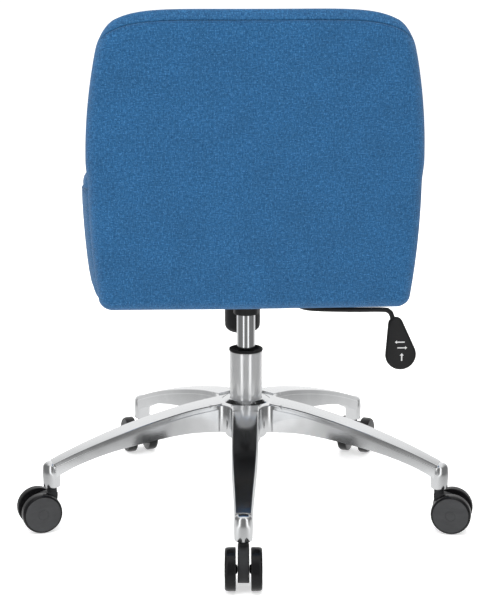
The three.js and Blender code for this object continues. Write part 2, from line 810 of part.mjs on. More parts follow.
function seatCushion() {
  const { top, crown, front, rear } = CUSHION;
  const bottom = PAN.top + 0.5;
  const [halfX, halfY, halfZ] = [190, (rear - front) / 2, (top - bottom) / 2];
  return softBlock([2 * halfX, 2 * halfY, 2 * halfZ], [24, 26, 26], [4, 4, 1], (x, y, z) => {
    const s = x / halfX;
    const depth = (front + rear) / 2 + y;
    const width = wingOuter(Math.max(depth, WING.front)) - WING.thickness - 2;
    const puff = crown * (1 - s * s) * (1 - (y / halfY) ** 4) * (z > 0 ? 1 : 0);
    return [s * width, depth, (top + bottom) / 2 + z + puff];
  });
}

// --------------------------------------------------------------------------- casters
// Each caster is drawn with its stem on Z and its wheels trailing towards +X.
function casterStem() {
  const flange = SOCKET_BOTTOM - GAP;
  return turned(
    [
      [0, STEM_BOTTOM],
      [STEM_RADIUS, STEM_BOTTOM],
      [STEM_RADIUS, flange - 1.6],
      [NECK_RADIUS, flange - 1.6],
      [NECK_RADIUS, flange],
      [STEM_RADIUS, flange],
      [STEM_RADIUS, STEM_TOP - 1.5],
      [STEM_RADIUS - 1, STEM_TOP],
      [0, STEM_TOP],
    ],
    12,
  );
}

function casterBody() {
  const shape = new THREE.Shape();
  const [hubX, hubZ] = [TRAIL, WHEEL_RADIUS];
  shape.absarc(hubX, hubZ, 19, -0.86 * Math.PI, 0.34 * Math.PI, false);
  shape.quadraticCurveTo(20, 56, 7.2, 57);
  shape.lineTo(-7.2, 57);
  shape.quadraticCurveTo(-7, 38, -1, 26);
  shape.closePath();
  const settings = { depth: 2 * CASTER_BODY_HALF, bevelEnabled: false, curveSegments: 6 };
  const cheek = new THREE.ExtrudeGeometry(shape, settings);
  const flat = solid(cheek.rotateX(Math.PI / 2).translate(0, CASTER_BODY_HALF, 0));
  const neck = solid(disc(NECK_RADIUS, 50, SOCKET_BOTTOM - 2 - GAP, 16));
  const stemHole = solid(disc(STEM_RADIUS + GAP, STEM_BOTTOM - 0.5, SOCKET_BOTTOM, 12));
  const axleHole = solid(disc(AXLE_RADIUS + GAP, -12, 12, 12).rotateX(Math.PI / 2));
  return cut(join(flat, neck), stemHole, axleHole.translate([hubX, 0, hubZ]));
}

function casterAxle() {
  const half = WHEEL_OUTER - 3;
  return disc(AXLE_RADIUS, -half, half, 12).rotateX(Math.PI / 2).translate(TRAIL, 0, WHEEL_RADIUS);
}

// side is 1 or -1 across the caster.
function casterWheel(side) {
  const bore = AXLE_RADIUS + GAP;
  const shape = turned(
    [
      [0, WHEEL_OUTER - 2.6],
      [bore, WHEEL_OUTER - 2.6],
      [bore, WHEEL_INNER - 2],
      [5.6, WHEEL_INNER - 2],
      [6.5, WHEEL_INNER],
      [WHEEL_RADIUS - 0.6, WHEEL_INNER],
      [WHEEL_RADIUS, WHEEL_INNER + 1.5],
      [WHEEL_RADIUS, WHEEL_OUTER - 4],
      [27, WHEEL_OUTER - 1.4],
      [0, WHEEL_OUTER],
    ],
    20,
  );
  return shape.rotateX((-side * Math.PI) / 2).translate(TRAIL, 0, WHEEL_RADIUS);
}

function caster(k) {
  const number = k + 1;
  const made = group(
    piece(`caster_stem_${number}`, "zinc", casterStem()),
    piece(`caster_body_${number}`, "nylon", casterBody()),
    piece(`caster_axle_${number}`, "zinc", casterAxle()),
    piece(`wheel_${number}_left`, "glossPlastic", casterWheel(1)),
    piece(`wheel_${number}_right`, "glossPlastic", casterWheel(-1)),
  );
  made.position.set(STEM_CIRCLE, 0, 0);
  made.rotation.z = THREE.MathUtils.degToRad(CASTER_HEADINGS[k]);
  const leg = group(made);
  leg.rotation.z = THREE.MathUtils.degToRad(90 + (360 / LEGS) * k);
  return leg;
}

// -------------------------------------------------------------------------- assembly
const base = group(starBase());
for (let k = 0; k < LEGS; k += 1) base.add(caster(k));
base.rotation.z = THREE.MathUtils.degToRad(-BASE_TURN);

const lift = group(
  piece("stand_tube", "satinChrome", standTube()),
  piece("column_collar", "blackPlastic", columnCollar()),
  piece("guide_bush", "nylon", guideBush()),
  washer("thrust_washer", "zinc", WASHER_RADIUS, FOOT_CAVITY.bottom + 0.4, FOOT_CAVITY.bottom + 3),
  washer("thrust_ring", "zinc", WASHER_RADIUS, FOOT_CAVITY.bottom + 3.4, FOOT_CAVITY.bottom + 7),
  piece("piston_rod", "chrome", disc(ROD_RADIUS, ROD_BOTTOM, ROD_TOP, 16)),
  washer("lift_piston", "nylon", PISTON_RADIUS - 2.2, LIFT_PISTON.bottom, LIFT_PISTON.top),
  washer("retaining_clip", "zinc", CLIP.radius, CLIP.bottom, TUBE_BOTTOM - GAP),
  piece("pressure_tube", "chrome", pressureTube()),
  piece("release_pin", "zinc", releasePin()),
);

const tension = group(
  piece("tension_bolt", "zinc", tensionBolt()),
  piece("spring_cup", "zinc", solid(springCup()).translate([0, ANCHOR_PIN.y, 0])),
  piece("tension_knob", "blackPlastic", solid(tensionKnob()).translate([0, ANCHOR_PIN.y, 0])),
  piece("tension_spring", "springSteel", tensionSpring().translate(0, ANCHOR_PIN.y, 0)),
);

const mechanism = group(
  piece("taper_sleeve", "blackSteel", taperSleeve()),
  piece("mechanism_housing", "blackSteel", mechanismHousing()),
  piece("tilt_pin", "zinc", tiltPin()),
  piece("lever_bush", "nylon", leverBush()),
  piece("lever_rod", "blackSteel", leverRod()),
  piece("lever_paddle", "blackPlastic", leverPaddle()),
  tension,
);

const seat = group(
  piece("seat_plate", "blackSteel", seatPlate()),
  piece("anchor_pin", "zinc", anchorPin()),
  piece("seat_pan", "plywood", seatPan()),
  piece("dust_cover", "liner", dustCover()),
  piece("seat_cushion", "fabric", seatCushion()),
  piece("back_shell", "fabric", backShell()),
  piece("back_cushion", "fabric", backCushion()),
  piece("wing_left", "fabric", wing(1)),
  piece("wing_right", "fabric", wing(-1)),
);
boltPlaces().forEach(([x, y], i) => {
  seat.add(piece(`seat_bolt_${i + 1}`, "zinc", seatBolt().translate([x, y, 0])));
});

const chair = group(base, lift, mechanism, seat);
chair.position.set(SWIVEL_AXIS[0], SWIVEL_AXIS[1], 0);

export default group(chair);
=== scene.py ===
# Looks of the swivel office chair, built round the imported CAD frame. Metres, +Z up, the chair faces -Y.
import json
import math

import bmesh
import bpy
import numpy as np
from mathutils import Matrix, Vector

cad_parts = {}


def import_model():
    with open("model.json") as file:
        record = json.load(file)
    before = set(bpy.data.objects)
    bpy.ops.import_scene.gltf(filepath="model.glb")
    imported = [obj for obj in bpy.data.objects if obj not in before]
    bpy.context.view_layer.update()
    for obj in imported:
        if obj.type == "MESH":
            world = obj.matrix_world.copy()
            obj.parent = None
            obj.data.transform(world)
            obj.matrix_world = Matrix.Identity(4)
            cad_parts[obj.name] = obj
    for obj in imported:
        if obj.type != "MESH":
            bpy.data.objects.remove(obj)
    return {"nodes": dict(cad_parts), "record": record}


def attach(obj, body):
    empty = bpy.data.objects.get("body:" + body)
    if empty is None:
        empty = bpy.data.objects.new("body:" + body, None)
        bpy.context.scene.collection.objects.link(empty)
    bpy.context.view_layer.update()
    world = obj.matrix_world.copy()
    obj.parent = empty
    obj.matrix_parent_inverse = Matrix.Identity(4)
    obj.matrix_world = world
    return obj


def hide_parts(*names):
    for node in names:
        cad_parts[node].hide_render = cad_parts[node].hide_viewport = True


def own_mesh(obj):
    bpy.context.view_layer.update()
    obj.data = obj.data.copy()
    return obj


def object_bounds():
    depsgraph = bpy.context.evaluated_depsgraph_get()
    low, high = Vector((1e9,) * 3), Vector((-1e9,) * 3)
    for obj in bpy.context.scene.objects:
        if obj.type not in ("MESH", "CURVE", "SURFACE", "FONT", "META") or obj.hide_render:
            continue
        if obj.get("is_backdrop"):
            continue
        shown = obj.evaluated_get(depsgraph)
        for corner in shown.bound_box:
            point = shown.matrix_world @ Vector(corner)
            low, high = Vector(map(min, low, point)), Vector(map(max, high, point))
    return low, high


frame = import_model()
CAD_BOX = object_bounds()

MM = 0.001
AXIS = np.array([-6.5, -21.4, 0.0])  # the swivel axis, mm; every shape below is drawn from it
scene = bpy.context.scene
scene.view_settings.view_transform = "Standard"


# ------------------------------------------------------------------ mesh helpers
def linked_mesh(name, verts, faces):
    """A mesh object straight from vertices in metres."""
    mesh = bpy.data.meshes.new(name)
    mesh.from_pydata(verts, [], faces)
    obj = bpy.data.objects.new(name, mesh)
    scene.collection.objects.link(obj)
    return obj


def new_mesh(name, verts, faces, smooth_angle=35.0):
    """A mesh object from vertices in mm measured from the swivel axis."""
    placed = (np.asarray(verts, float) + AXIS) * MM
    obj = linked_mesh(name, placed.tolist(), [tuple(int(i) for i in f) for f in faces])
    obj.data.validate()
    fix_normals(obj.data)
    shade(obj.data, smooth_angle)
    return obj


def fix_normals(mesh):
    bm = bmesh.new()
    bm.from_mesh(mesh)
    bmesh.ops.recalc_face_normals(bm, faces=bm.faces)
    bm.to_mesh(mesh)
    bm.free()


def shade(mesh, smooth_angle):
    for polygon in mesh.polygons:
        polygon.use_smooth = True
    mesh.set_sharp_from_angle(angle=math.radians(smooth_angle))
    mesh.update()


def vertex_data(mesh, field):
    data = np.empty(len(mesh.vertices) * 3)
    mesh.vertices.foreach_get(field, data)
    return data.reshape(-1, 3)


def coords(obj):
    return vertex_data(obj.data, "co")


def normals_of(obj):
    return vertex_data(obj.data, "normal")


def put_coords(obj, co):
    obj.data.vertices.foreach_set("co", np.asarray(co, float).reshape(-1))
    obj.data.update()


def apply_modifiers(obj):
    graph = bpy.context.evaluated_depsgraph_get()
    made = bpy.data.meshes.new_from_object(obj.evaluated_get(graph))
    obj.modifiers.clear()
    old = obj.data
    obj.data = made
    bpy.data.meshes.remove(old)
    return obj


def modify(obj, kind, **settings):
    """Adds a modifier, which apply_modifiers() then makes part of the mesh."""
    modifier = obj.modifiers.new(kind.lower(), kind)
    for key, value in settings.items():
        setattr(modifier, key, value)
    return obj


def subdivide(obj):
    apply_modifiers(modify(obj, "SUBSURF", levels=1, render_levels=1))


def bevel(obj, width):
    """Rounds the sharp edges, those that turn by more than 50 degrees, by width in mm."""
    apply_modifiers(modify(obj, "BEVEL", width=width * MM, segments=3, limit_method="ANGLE",
                           angle_limit=math.radians(50), use_clamp_overlap=True))
    shade(obj.data, 40)


def box_uv(obj):
    """UVs in metres, each face laid flat along the axis it faces most."""
    mesh = obj.data
    layer = mesh.uv_layers.get("weave") or mesh.uv_layers.new(name="weave")
    co = coords(obj)
    uv = np.empty((len(mesh.loops), 2))
    for polygon in mesh.polygons:
        along = int(np.argmax([abs(c) for c in polygon.normal]))
        u, v = [(1, 2), (0, 2), (0, 1)][along]
        for loop in polygon.loop_indices:
            point = co[mesh.loops[loop].vertex_index]
            uv[loop] = (point[u], point[v])
    layer.data.foreach_set("uv", uv.reshape(-1))


def revolve(profile, segments, place):
    """A profile of (radius, height) points turned round an axis, where place(radius, height, angle) is a point.
    Gives the vertices, the faces, and for each face the two profile points that it joins."""
    verts, faces, joins, rows = [], [], [], []
    for r, h in profile:
        turns = 1 if r < 1e-6 else segments
        rows.append(list(range(len(verts), len(verts) + turns)))
        verts += [place(r, h, 2 * math.pi * i / segments) for i in range(turns)]
    closed = len(rows[0]) > 1
    ends = list(zip(rows, profile))
    for (a, pa), (b, pb) in zip(ends, ends[1:] + ends[:1] if closed else ends[1:]):
        if len(a) == 1 and len(b) == 1:
            continue
        for i in range(segments):
            j = (i + 1) % segments
            faces.append((a[0], b[i], b[j]) if len(a) == 1 else (a[i], a[j], b[0]) if len(b) == 1 else
                         (a[i], a[j], b[j], b[i]))
            joins.append((pa, pb))
    return verts, faces, joins


def lathe(name, profile, segments=96, centre=(0, 0)):
    """A closed body of revolution about Z from (radius, z) points."""
    def place(r, z, angle):
        return centre[0] + r * math.cos(angle), centre[1] + r * math.sin(angle), z
    return new_mesh(name, *revolve(profile, segments, place)[:2], 32)


def rounded(points, radius, steps=5):
    """Rounds the corners of an open (r, z) polyline; radius may be one number or one per point."""
    out = [points[0]]
    for i in range(1, len(points) - 1):
        size = radius[i] if isinstance(radius, (list, tuple)) else radius
        before, here, after = (np.array(points[k], float) for k in (i - 1, i, i + 1))
        back, on = before - here, after - here
        reach = min(size, 0.49 * np.linalg.norm(back), 0.49 * np.linalg.norm(on))
        start = here + back / np.linalg.norm(back) * reach
        end = here + on / np.linalg.norm(on) * reach
        for k in range(steps + 1):
            t = k / steps
            out.append(tuple((1 - t) ** 2 * start + 2 * t * (1 - t) * here + t * t * end))
    out.append(points[-1])
    return out


def catmull(points, steps):
    """Points along a uniform Catmull-Rom path."""
    p = [np.array(q, float) for q in points]
    count = len(p)
    out = []
    for i in range(steps + 1):
        t = i / steps * (count - 1)
        k = min(int(t), count - 2)
        w = t - k
        b, c = p[k], p[k + 1]
        a = p[k - 1] if k > 0 else 2 * b - c
        d = p[k + 2] if k + 2 < count else 2 * c - b
        out.append(0.5 * (2 * b + (c - a) * w + (2 * a - 5 * b + 4 * c - d) * w * w
                          + (3 * b - 3 * c + d - a) * w ** 3))
    return np.array(out)


def tube_data(path, radius, sides=12, base=0):
    """Vertices and faces of a round bar along a path; radius may be one number or one per point."""
    path = np.asarray(path, float)
    count = len(path)
    radii = np.broadcast_to(np.asarray(radius, float), (count,))
    tangents = np.gradient(path, axis=0)
    tangents /= np.linalg.norm(tangents, axis=1)[:, None]
    side = np.cross(tangents[0], [0.0, 0.0, 1.0])
    if np.linalg.norm(side) < 0.1:
        side = np.cross(tangents[0], [1.0, 0.0, 0.0])
    verts, faces = [], []
    for i in range(count):
        side = side - tangents[i] * side.dot(tangents[i])
        side /= np.linalg.norm(side)
        other = np.cross(tangents[i], side)
        for k in range(sides):
            angle = 2 * math.pi * k / sides
            verts.append(path[i] + radii[i] * (math.cos(angle) * side + math.sin(angle) * other))
    for i in range(count - 1):
        here, there = base + i * sides, base + (i + 1) * sides
        for k in range(sides):
            m = (k + 1) % sides
            faces.append([here + k, here + m, there + m, there + k])
    faces.append([base + k for k in reversed(range(sides))])
    faces.append([base + (count - 1) * sides + k for k in range(sides)])
    return verts, faces


def tube(name, path, radius, sides):
    return new_mesh(name, *tube_data(path, radius, sides), smooth_angle=50)


def loft_faces(rows, length):
    """Faces of a solid whose vertices are rows of the same length: both ends, then the sides."""
    faces = [list(range(length - 1, -1, -1)), [(rows - 1) * length + k for k in range(length)]]
    for i in range(rows - 1):
        for k in range(length):
            m = (k + 1) % length
            faces.append([i * length + k, i * length + m, (i + 1) * length + m, (i + 1) * length + k])
    return faces


def prism(outline, low, high, upright=True):
    """A flat outline raised from low to high: an (x, y) outline along Z or, if not upright, an (x, z) one along Y."""
    verts = [(a, b, level) if upright else (a, level, b) for level in (low, high) for a, b in outline]
    return verts, loft_faces(2, len(outline))


def boolean(obj, others, operation):
    for other in others:
        modify(obj, "BOOLEAN", operation=operation, object=other, solver="EXACT")
    apply_modifiers(obj)
    for other in others:
        bpy.data.objects.remove(other)


def finish_piece(obj, material, body, node):
    """Gives a piece its material and body; node is the CAD node that it stands for, or None for a detail."""
    obj.data.materials.clear()
    obj.data.materials.append(material)
    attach(obj, body)
    if node:
        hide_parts(node)
    return obj


# -------------------------------------------------------------------- materials
class Nodes:
    """A short way to write the nodes of a material or a world."""

    def __init__(self, owner, shader="Principled BSDF"):
        owner.use_nodes = True
        self.owner = owner
        self.tree = owner.node_tree
        self.shader = self.tree.nodes[shader]

    def node(self, kind, props=None, **inputs):
        made = self.tree.nodes.new(kind)
        for key, value in (props or {}).items():
            setattr(made, key, value)
        for key, value in inputs.items():
            self.feed(made.inputs[int(key[1:]) if key[1:].isdigit() else key.replace("_", " ")], value)
        return made

    def feed(self, socket, value):
        if isinstance(value, bpy.types.NodeSocket):
            self.tree.links.new(value, socket)
        else:
            socket.default_value = value

    def set(self, **values):
        for key, value in values.items():
            self.feed(self.shader.inputs[key.replace("_", " ")], value)

    def math(self, operation, a, b=0.0, c=0.0):
        return self.node("ShaderNodeMath", {"operation": operation}, i0=a, i1=b, i2=c).outputs[0]

    def product(self, value, *others):
        for other in others:
            value = self.math("MULTIPLY", value, other)
        return value

    def length(self, x, y):
        return self.math("SQRT", self.math("ADD", self.math("MULTIPLY", x, x), self.math("MULTIPLY", y, y)))

    def mix(self, factor, a, b):
        return self.node("ShaderNodeMix", {"data_type": "RGBA"}, i0=factor, i6=a, i7=b).outputs[2]

    def mix_values(self, factor, a, b):
        return self.node("ShaderNodeMix", {"data_type": "FLOAT"}, i0=factor, i2=a, i3=b).outputs[0]

    def tinted(self, colour, tone):
        return self.node("ShaderNodeVectorMath", {"operation": "SCALE"}, i0=colour, Scale=tone).outputs[0]

    def noise(self, vector, scale, detail=2.0, roughness=0.5):
        return self.node("ShaderNodeTexNoise", None, Vector=vector, Scale=scale, Detail=detail,
                         Roughness=roughness).outputs[0]

    def scaled(self, vector, scale):
        return self.node("ShaderNodeMapping", None, Vector=vector, Scale=scale).outputs[0]

    def ramp(self, factor, stops, interpolation="LINEAR"):
        made = self.node("ShaderNodeValToRGB", None, Fac=factor)
        made.color_ramp.interpolation = interpolation
        elements = made.color_ramp.elements
        while len(elements) < len(stops):
            elements.new(0.5)
        for element, (place, colour) in zip(elements, stops):
            element.position = place
            element.color = (*colour, 1.0) if len(colour) == 3 else colour
        return made.outputs[0]

    def span(self, value, low, high, to_low, to_high):
        limits = {"i1": low, "i2": high, "i3": to_low, "i4": to_high}
        return self.node("ShaderNodeMapRange", None, Value=value, **limits).outputs[0]

    def bump(self, height, distance, strength=1.0, normal=None):
        made = self.node("ShaderNodeBump", None, Height=height, Distance=distance, Strength=strength)
        if normal:
            self.feed(made.inputs["Normal"], normal)
        return made.outputs[0]

    def place(self):
        return self.node("ShaderNodeTexCoord").outputs["Object"]


def new_material(name):
    return Nodes(bpy.data.materials.new(name))


def grey(value):
    return (value, value, value, 1.0)


def weave_material(name, pitch, tones, sheen, depth):
    """A plain weave of melange yarn: each yarn changes tone along its own length, with painted shade in the low parts
    of the weave and along the seams.
    """
    n = new_material(name)
    uv = n.node("ShaderNodeUVMap", {"uv_map": "weave"}).outputs[0]
    xyz = n.node("ShaderNodeSeparateXYZ", None, Vector=uv)
    wander = n.noise(uv, 160.0, 2.0)
    shift = n.math("MULTIPLY", n.math("SUBTRACT", wander, 0.5), 0.35 * pitch)
    u = n.math("DIVIDE", n.math("ADD", xyz.outputs[0], shift), pitch)
    v = n.math("DIVIDE", n.math("ADD", xyz.outputs[1], shift), pitch)
    parity = n.math("MODULO", n.math("ADD", n.math("FLOOR", u), n.math("FLOOR", v)), 2.0)
    over = n.math("ABSOLUTE", parity)
    hump_u, hump_v = (n.math("ABSOLUTE", n.math("SINE", n.math("MULTIPLY", t, math.pi))) for t in (u, v))
    warp, weft = (n.math("MULTIPLY", n.math("POWER", a, 0.6), n.math("ADD", 0.45, n.math("MULTIPLY", b, 0.55)))
                  for a, b in ((hump_u, hump_v), (hump_v, hump_u)))
    lift = n.mix_values(over, warp, weft)
    along_v = n.noise(n.scaled(uv, (1 / pitch, 0.3 / pitch, 1.0)), 1.0, 3.0, 0.6)
    along_u = n.noise(n.scaled(uv, (0.3 / pitch, 1 / pitch, 1.0)), 1.0, 3.0, 0.6)
    yarn = n.mix_values(over, along_v, along_u)
    colour = n.ramp(yarn, [(0.30, tones[0]), (0.5, tones[1]), (0.70, tones[2])])
    cloud = n.span(n.noise(n.place(), 24.0, 3.0), 0.3, 0.7, 0.93, 1.06)
    fleck = n.span(n.noise(uv, 330.0, 1.0), 0.32, 0.68, 0.86, 1.13)
    # Colour follows the weave's height, darker where the yarn dips: painted shade between the yarns.
    weave_painted_shade = n.span(lift, 0.1, 0.9, 0.66, 1.08)
    # The seam attribute darkens the weave to 0.45 of its tone along the grooves: painted shade in the seams.
    seam = n.node("ShaderNodeAttribute", {"attribute_name": "seam"}).outputs["Fac"]
    seam_painted_shade = n.span(seam, 0.0, 1.0, 1.0, 0.45)
    painted = n.tinted(colour, n.product(cloud, fleck, weave_painted_shade, seam_painted_shade))
    fuzz = n.noise(n.place(), 2600.0, 2.0)
    height = n.math("ADD", lift, n.math("MULTIPLY", fuzz, 0.25))
    n.set(Base_Color=painted, Roughness=n.span(yarn, 0.3, 0.7, 0.98, 0.82), Normal=n.bump(height, depth, 0.9))
    n.set(Sheen_Weight=sheen, Sheen_Roughness=0.45, Sheen_Tint=(0.62, 0.76, 0.9, 1.0), Specular_IOR_Level=0.18)
    return n.owner


def metal_material(name, colour, rough, streak=None, dent=0.0, grain=900.0, spread=0.06, metallic=1.0):
    """Bare metal: roughness that varies, fine scratches along streak, and soft waviness."""
    n = new_material(name)
    place = n.place()
    smudge = n.noise(place, 14.0, 4.0, 0.6)
    fine = n.noise(n.scaled(place, streak or (1.0, 1.0, 1.0)), grain, 3.0)
    roughness = n.math("ADD", n.span(smudge, 0.3, 0.7, rough - spread, rough + spread),
                       n.span(fine, 0.3, 0.7, -0.02, 0.03))
    tone = n.span(smudge, 0.25, 0.75, 0.94, 1.03)
    normal = n.bump(fine, 0.00002, 0.35)
    if dent:
        normal = n.bump(n.noise(place, 30.0, 1.0), dent, 0.5, normal)
    n.set(Base_Color=n.tinted(colour, tone), Metallic=metallic, Roughness=roughness, Normal=normal)
    return n.owner


def plastic_material(name, colour, rough, grain_scale=1400.0, grain_depth=0.00006, coat=0.0, specular=0.3):
    """Moulded plastic or paint: spark-eroded grain, faint scuffs and dust in the roughness."""
    n = new_material(name)
    place = n.place()
    grain = n.node("ShaderNodeTexVoronoi", {"feature": "SMOOTH_F1"}, Vector=place, Scale=grain_scale).outputs[0]
    scuff = n.noise(n.scaled(place, (1.0, 1.0, 3.0)), 45.0, 5.0, 0.65)
    dust = n.noise(place, 9.0, 3.0)
    tone = n.math("MULTIPLY", n.span(scuff, 0.3, 0.75, 0.9, 1.25), n.span(dust, 0.3, 0.7, 0.92, 1.1))
    n.set(Base_Color=n.tinted(colour, tone), Roughness=n.span(scuff, 0.3, 0.75, rough - 0.06, rough + 0.1),
          Normal=n.bump(grain, grain_depth, 0.6))
    n.set(Coat_Weight=coat, Coat_Roughness=0.12, Specular_IOR_Level=specular)
    return n.owner


def plywood_material():
    """Dark-stained plywood: grain on the two faces, and the plies along the edges."""
    n = new_material("stained_ply")
    place = n.place()
    normal = n.node("ShaderNodeTexCoord").outputs["Normal"]
    upright = n.math("ABSOLUTE", n.node("ShaderNodeSeparateXYZ", Vector=normal).outputs[2])
    rings = n.node("ShaderNodeTexWave", {"wave_type": "BANDS", "bands_direction": "X"}, Vector=place,
                   Scale=22.0, Distortion=5.0, Detail=3.0).outputs[1]
    fibre = n.noise(n.scaled(place, (1.0, 0.05, 1.0)), 700.0, 3.0)
    plies = n.node("ShaderNodeTexWave", {"wave_type": "BANDS", "bands_direction": "Z"}, Vector=place,
                   Scale=210.0).outputs[1]
    face = n.ramp(rings, [(0.2, (0.030, 0.021, 0.014)), (0.8, (0.042, 0.030, 0.020))])
    edge = n.ramp(plies, [(0.3, (0.026, 0.018, 0.012)), (0.7, (0.060, 0.043, 0.028))])
    colour = n.mix(n.span(upright, 0.5, 0.8, 0.0, 1.0), edge, face)
    colour = n.mix(n.math("MULTIPLY", fibre, 0.35), colour, (0.020, 0.014, 0.009, 1.0))
    n.set(Base_Color=colour, Roughness=n.span(fibre, 0.2, 0.8, 0.55, 0.8), Normal=n.bump(fibre, 0.00015, 0.5))
    return n.owner


BLUE_TONES = [(0.0055, 0.048, 0.135), (0.0155, 0.093, 0.224), (0.041, 0.165, 0.342)]
fabric = weave_material("blue_melange_weave", 0.0017, BLUE_TONES, 0.22, 0.00045)
liner = weave_material("black_liner_cloth", 0.0009, [(0.006,) * 3, (0.012,) * 3, (0.02,) * 3], 0.05, 0.00015)
thread = plastic_material("blue_sewing_thread", (0.012, 0.055, 0.14), 0.75, 5200.0, 0.0001)
aluminium = metal_material("polished_cast_aluminium", (0.82, 0.83, 0.84), 0.13, None, 0.0005, 1500.0, 0.04)
tube_steel = metal_material("satin_chromed_tube", (0.8, 0.805, 0.81), 0.1, (1.0, 1.0, 0.04), 0.0, 2600.0, 0.03,
                            metallic=0.6)
chrome = metal_material("polished_chrome", (0.84, 0.85, 0.86), 0.09, (1.0, 1.0, 0.1), 0.0, 2200.0, 0.02)
zinc = metal_material("zinc_plated_steel", (0.6, 0.61, 0.63), 0.33, None, 0.0002, 1800.0, 0.07)
spring_steel = metal_material("oiled_spring_steel", (0.2, 0.205, 0.21), 0.35, None, 0.0, 1800.0, 0.07)
paint = plastic_material("black_powder_coat", (0.012, 0.012, 0.013), 0.42, 1700.0, 0.00010)
matt_black = plastic_material("matt_black_moulding", (0.013, 0.013, 0.0135), 0.5, 2100.0, 0.00009)
satin_black = plastic_material("satin_black_moulding", (0.010, 0.010, 0.0105), 0.36, 2300.0, 0.00005)
gloss_black = plastic_material("gloss_black_rim", (0.006, 0.006, 0.0065), 0.2, 2600.0, 0.00003, 0.12, 0.22)
disc_grey = plastic_material("dark_grey_wheel_disc", (0.040, 0.041, 0.043), 0.42, 2400.0, 0.00006)
nylon = plastic_material("dark_nylon_fork", (0.022, 0.0225, 0.024), 0.46, 2200.0, 0.00007)
print_white = plastic_material("white_arrow_print", (0.62, 0.62, 0.62), 0.5, 3000.0, 0.00003)
plywood = plywood_material()


# ------------------------------------------------------------------- upholstery
def smooth(value, low, high):
    t = np.clip((np.asarray(value, float) - low) / (high - low), 0, 1)
    return t * t * (3 - 2 * t)


def lerp(a, b, t):
    return a + (b - a) * t


# Heights, half widths and depths of the tub, mm.
SHELL_BOTTOM, BACK_TOP, TUB_HALF = 371.5, 780.0, 227.5
WAIST_LOW, WAIST_HIGH = 547.0, 577.0  # the tub is widest between these heights
SHELL_THICK, CORNER_DROP = 48, 41
WING_THICK, WING_FRONT = 40, -228


def lower_inset(z):
    return 13.0 * (np.maximum(0, WAIST_LOW - z) / (WAIST_LOW - SHELL_BOTTOM)) ** 2


def tub_half_width(z):
    return TUB_HALF - lower_inset(z) - 30.0 * (np.maximum(0, z - WAIST_HIGH) / (BACK_TOP - WAIST_HIGH)) ** 2


def back_face(z):
    return 242.3 + 0.105 * (z - SHELL_BOTTOM)


def corner(s, power=6, root=0.45):
    """How far a rounded top corner has dropped at s, 0 in the middle and 1 at the side."""
    return 1 - (1 - np.minimum(1, np.abs(s)) ** power) ** root


def back_bow(height, s):
    return (3 + 12 * smooth(height, SHELL_BOTTOM, BACK_TOP)) * s * s


def wing_outer(y):
    return 240.0 - 8.0 * ((y + 10) / 210) ** 2


class SoftBlock:
    """The surface of a rounded block as a lattice, so that a seam can follow a row of its points."""

    def __init__(self, size, radius, cell, extra=((), (), ()), turns=5):
        self.half = [v / 2 for v in size]
        self.radius = radius
        self.lines = [self._line(self.half[k], radius[k], cell, extra[k], turns) for k in range(3)]
        n = [len(line) for line in self.lines]
        self.index, raw = {}, []
        for i in range(n[0]):
            for j in range(n[1]):
                edge = i in (0, n[0] - 1) or j in (0, n[1] - 1)
                for k in range(n[2]) if edge else (0, n[2] - 1):
                    self.index[i, j, k] = len(raw)
                    raw.append((self.lines[0][i], self.lines[1][j], self.lines[2][k]))
        self.count = n
        raw = np.array(raw)
        reach = np.array(self.half) - np.array(radius)
        core = np.clip(raw, -reach, reach)
        out = (raw - core) / np.array(radius)
        out /= np.maximum(np.linalg.norm(out, axis=1), 1e-9)[:, None]
        self.points = core + out * np.array(radius)
        self.faces = []
        for axis in range(3):
            a, b = [k for k in range(3) if k != axis]
            for end in (0, n[axis] - 1):
                for i in range(n[a] - 1):
                    for j in range(n[b] - 1):
                        quad = []
                        for di, dj in ((0, 0), (1, 0), (1, 1), (0, 1)):
                            key = [0, 0, 0]
                            key[axis], key[a], key[b] = end, i + di, j + dj
                            quad.append(self.index[tuple(key)])
                        self.faces.append(quad)

    @staticmethod
    def _line(half, radius, cell, extra, turns):
        bend = [half - radius + radius * math.tan(math.pi / 4 * i / turns) for i in range(1, turns + 1)]
        spans = max(1, round(2 * (half - radius) / cell))
        flat = [(half - radius) * (2 * i / spans - 1) for i in range(spans + 1)]
        values = sorted([-b for b in bend] + flat + bend)
        gap = 0.45 * cell
        for group in extra:
            values = [v for v in values if abs(v) >= half - 1e-6 or all(abs(v - e) > gap for e in group)]
            values += list(group)
        return sorted(values)

    def nearest(self, axis, value):
        return int(np.argmin([abs(v - value) for v in self.lines[axis]]))

    def across(self, face, height, skip=0):
        """The row of points from side to side at one height, on the front (face 0) or the rear (face -1)."""
        depth = face % self.count[1]
        return [self.index[i, depth, self.nearest(2, height)] for i in range(skip, self.count[0] - skip)]

    def ring(self, axis, place):
        """The closed row of points round the block at one line of an axis."""
        a, b = [k for k in range(3) if k != axis]
        at = self.nearest(axis, place)
        ends = [self.count[a] - 1, self.count[b] - 1]
        steps = [(i, 0) for i in range(ends[0])] + [(ends[0], j) for j in range(ends[1])]
        steps += [(i, ends[1]) for i in range(ends[0], 0, -1)] + [(0, j) for j in range(ends[1], 0, -1)]
        out = []
        for i, j in steps:
            key = [0, 0, 0]
            key[axis], key[a], key[b] = at, i, j
            out.append(self.index[tuple(key)])
        return out


def around(value, width=2.2):
    """Lattice lines that hold a seam: its bottom and both its lips."""
    return (value - 2 * width, value - width, value, value + width, value + 2 * width)


